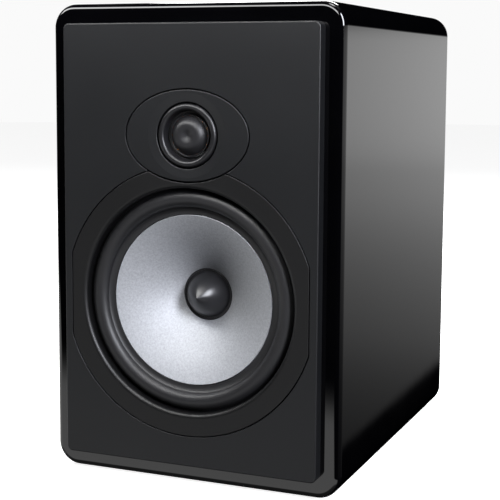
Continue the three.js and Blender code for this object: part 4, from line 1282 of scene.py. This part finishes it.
def studio_surround():
    """The room: a plain pale backdrop to look at, and dark and bright walls for the lacquer to mirror.

    A dark table cuts off the wall behind, and shows as a black band along the foot of the cabinet's side.
    """
    world = bpy.data.worlds.new("studio")
    scene.world = world
    world.use_nodes = True
    tree = world.node_tree
    tree.nodes.clear()
    direction = node(tree, "ShaderNodeTexCoord").outputs["Generated"]
    axis = node(tree, "ShaderNodeSeparateXYZ", {"Vector": direction})
    sideways = node(tree, "ShaderNodeMath", {0: axis.outputs["X"]}, operation="ABSOLUTE")
    over_table = node(tree, "ShaderNodeMath",
                      {0: sideways.outputs[0], 1: TABLE_EDGE, 2: axis.outputs["Z"]},
                      operation="MULTIPLY_ADD")
    table = node(tree, "ShaderNodeMapRange",
                 {"Value": over_table.outputs[0], "From Min": 0.0, "From Max": 0.01},
                 interpolation_type="SMOOTHSTEP")
    backdrop_light = ramp(tree, axis.outputs["Z"], BEHIND_BY_HEIGHT)
    behind = node(tree, "ShaderNodeMath",
                  {0: backdrop_light, 1: table.outputs["Result"]}, operation="MULTIPLY")
    slanted = node(tree, "ShaderNodeMath", {0: axis.outputs["X"], 1: FRONT_SLANT, 2: axis.outputs["Z"]},
                   operation="MULTIPLY_ADD")
    before = ramp(tree, slanted.outputs[0], BEFORE_BY_HEIGHT)
    turn = node(tree, "ShaderNodeMath", {0: axis.outputs["X"], 1: WALLS_MEET, 2: axis.outputs["Y"]},
                operation="MULTIPLY_ADD")
    side = node(tree, "ShaderNodeMapRange",
                {"Value": turn.outputs[0], "From Min": -0.15, "From Max": 0.25},
                interpolation_type="SMOOTHSTEP")
    walls = node(tree, "ShaderNodeMix", {0: side.outputs["Result"], 2: before, 3: behind.outputs[0]})
    ray = node(tree, "ShaderNodeLightPath")
    share = node(tree, "ShaderNodeMapRange", {"Value": ray.outputs["Is Diffuse Ray"], "To Min": 1.0,
                                              "To Max": WALLS_ON_MATT})
    brightness = node(tree, "ShaderNodeMath",
                      {0: walls.outputs[0], 1: share.outputs["Result"]}, operation="MULTIPLY")
    mirrored = node(tree, "ShaderNodeBackground", {"Strength": brightness.outputs[0]})
    backdrop = node(tree, "ShaderNodeBackground", {"Color": linear("#fafafa"), "Strength": 1.0})
    either = node(tree, "ShaderNodeMixShader",
                  {0: ray.outputs["Is Camera Ray"], 1: mirrored.outputs[0], 2: backdrop.outputs[0]})
    node(tree, "ShaderNodeOutputWorld", {"Surface": either.outputs[0]})


def studio_lights():
    """A tall key light far round to the right, one overhead, a strip over the front edge and one behind."""
    drivers = (0, -0.12, 0.17)
    softbox("tall_key_softbox", (1.1, -0.77, 0.75), drivers, (0.35, 0.84), 30, "#f4f6ff")
    softbox("overhead_softbox", (0.26, -0.39, 1.51), drivers, (0.35, 0.35), 5)
    softbox("strip_over_the_top", (-0.12, -0.33, 0.5), (-0.05, -0.14, 0.31), (0.7, 0.11), 2.9)
    softbox("rear_softbox", (-0.25, 1.0, 1.35), (0, 0.13, 0.17), (1.0, 0.5), 36)


# ------------------------------------------------------------------ the whole loudspeaker

studio_camera()
studio_floor()
studio_surround()
studio_lights()
scene.view_settings.view_transform = "Standard"

finish_cad_nodes()
cabinet_shell()
rear_board()
feet()
face_plate()
woofer_trim()
woofer_cone()
dust_cap()
woofer_surround()
woofer_spider()
tweeter_plate()
tweeter_lip()
tweeter_body()
tweeter_dome()
port_mouth()
port_pipe()
terminal_cup()
binding_post("red", "red_plastic")
binding_post("black", "black_plastic")
rear_screws()
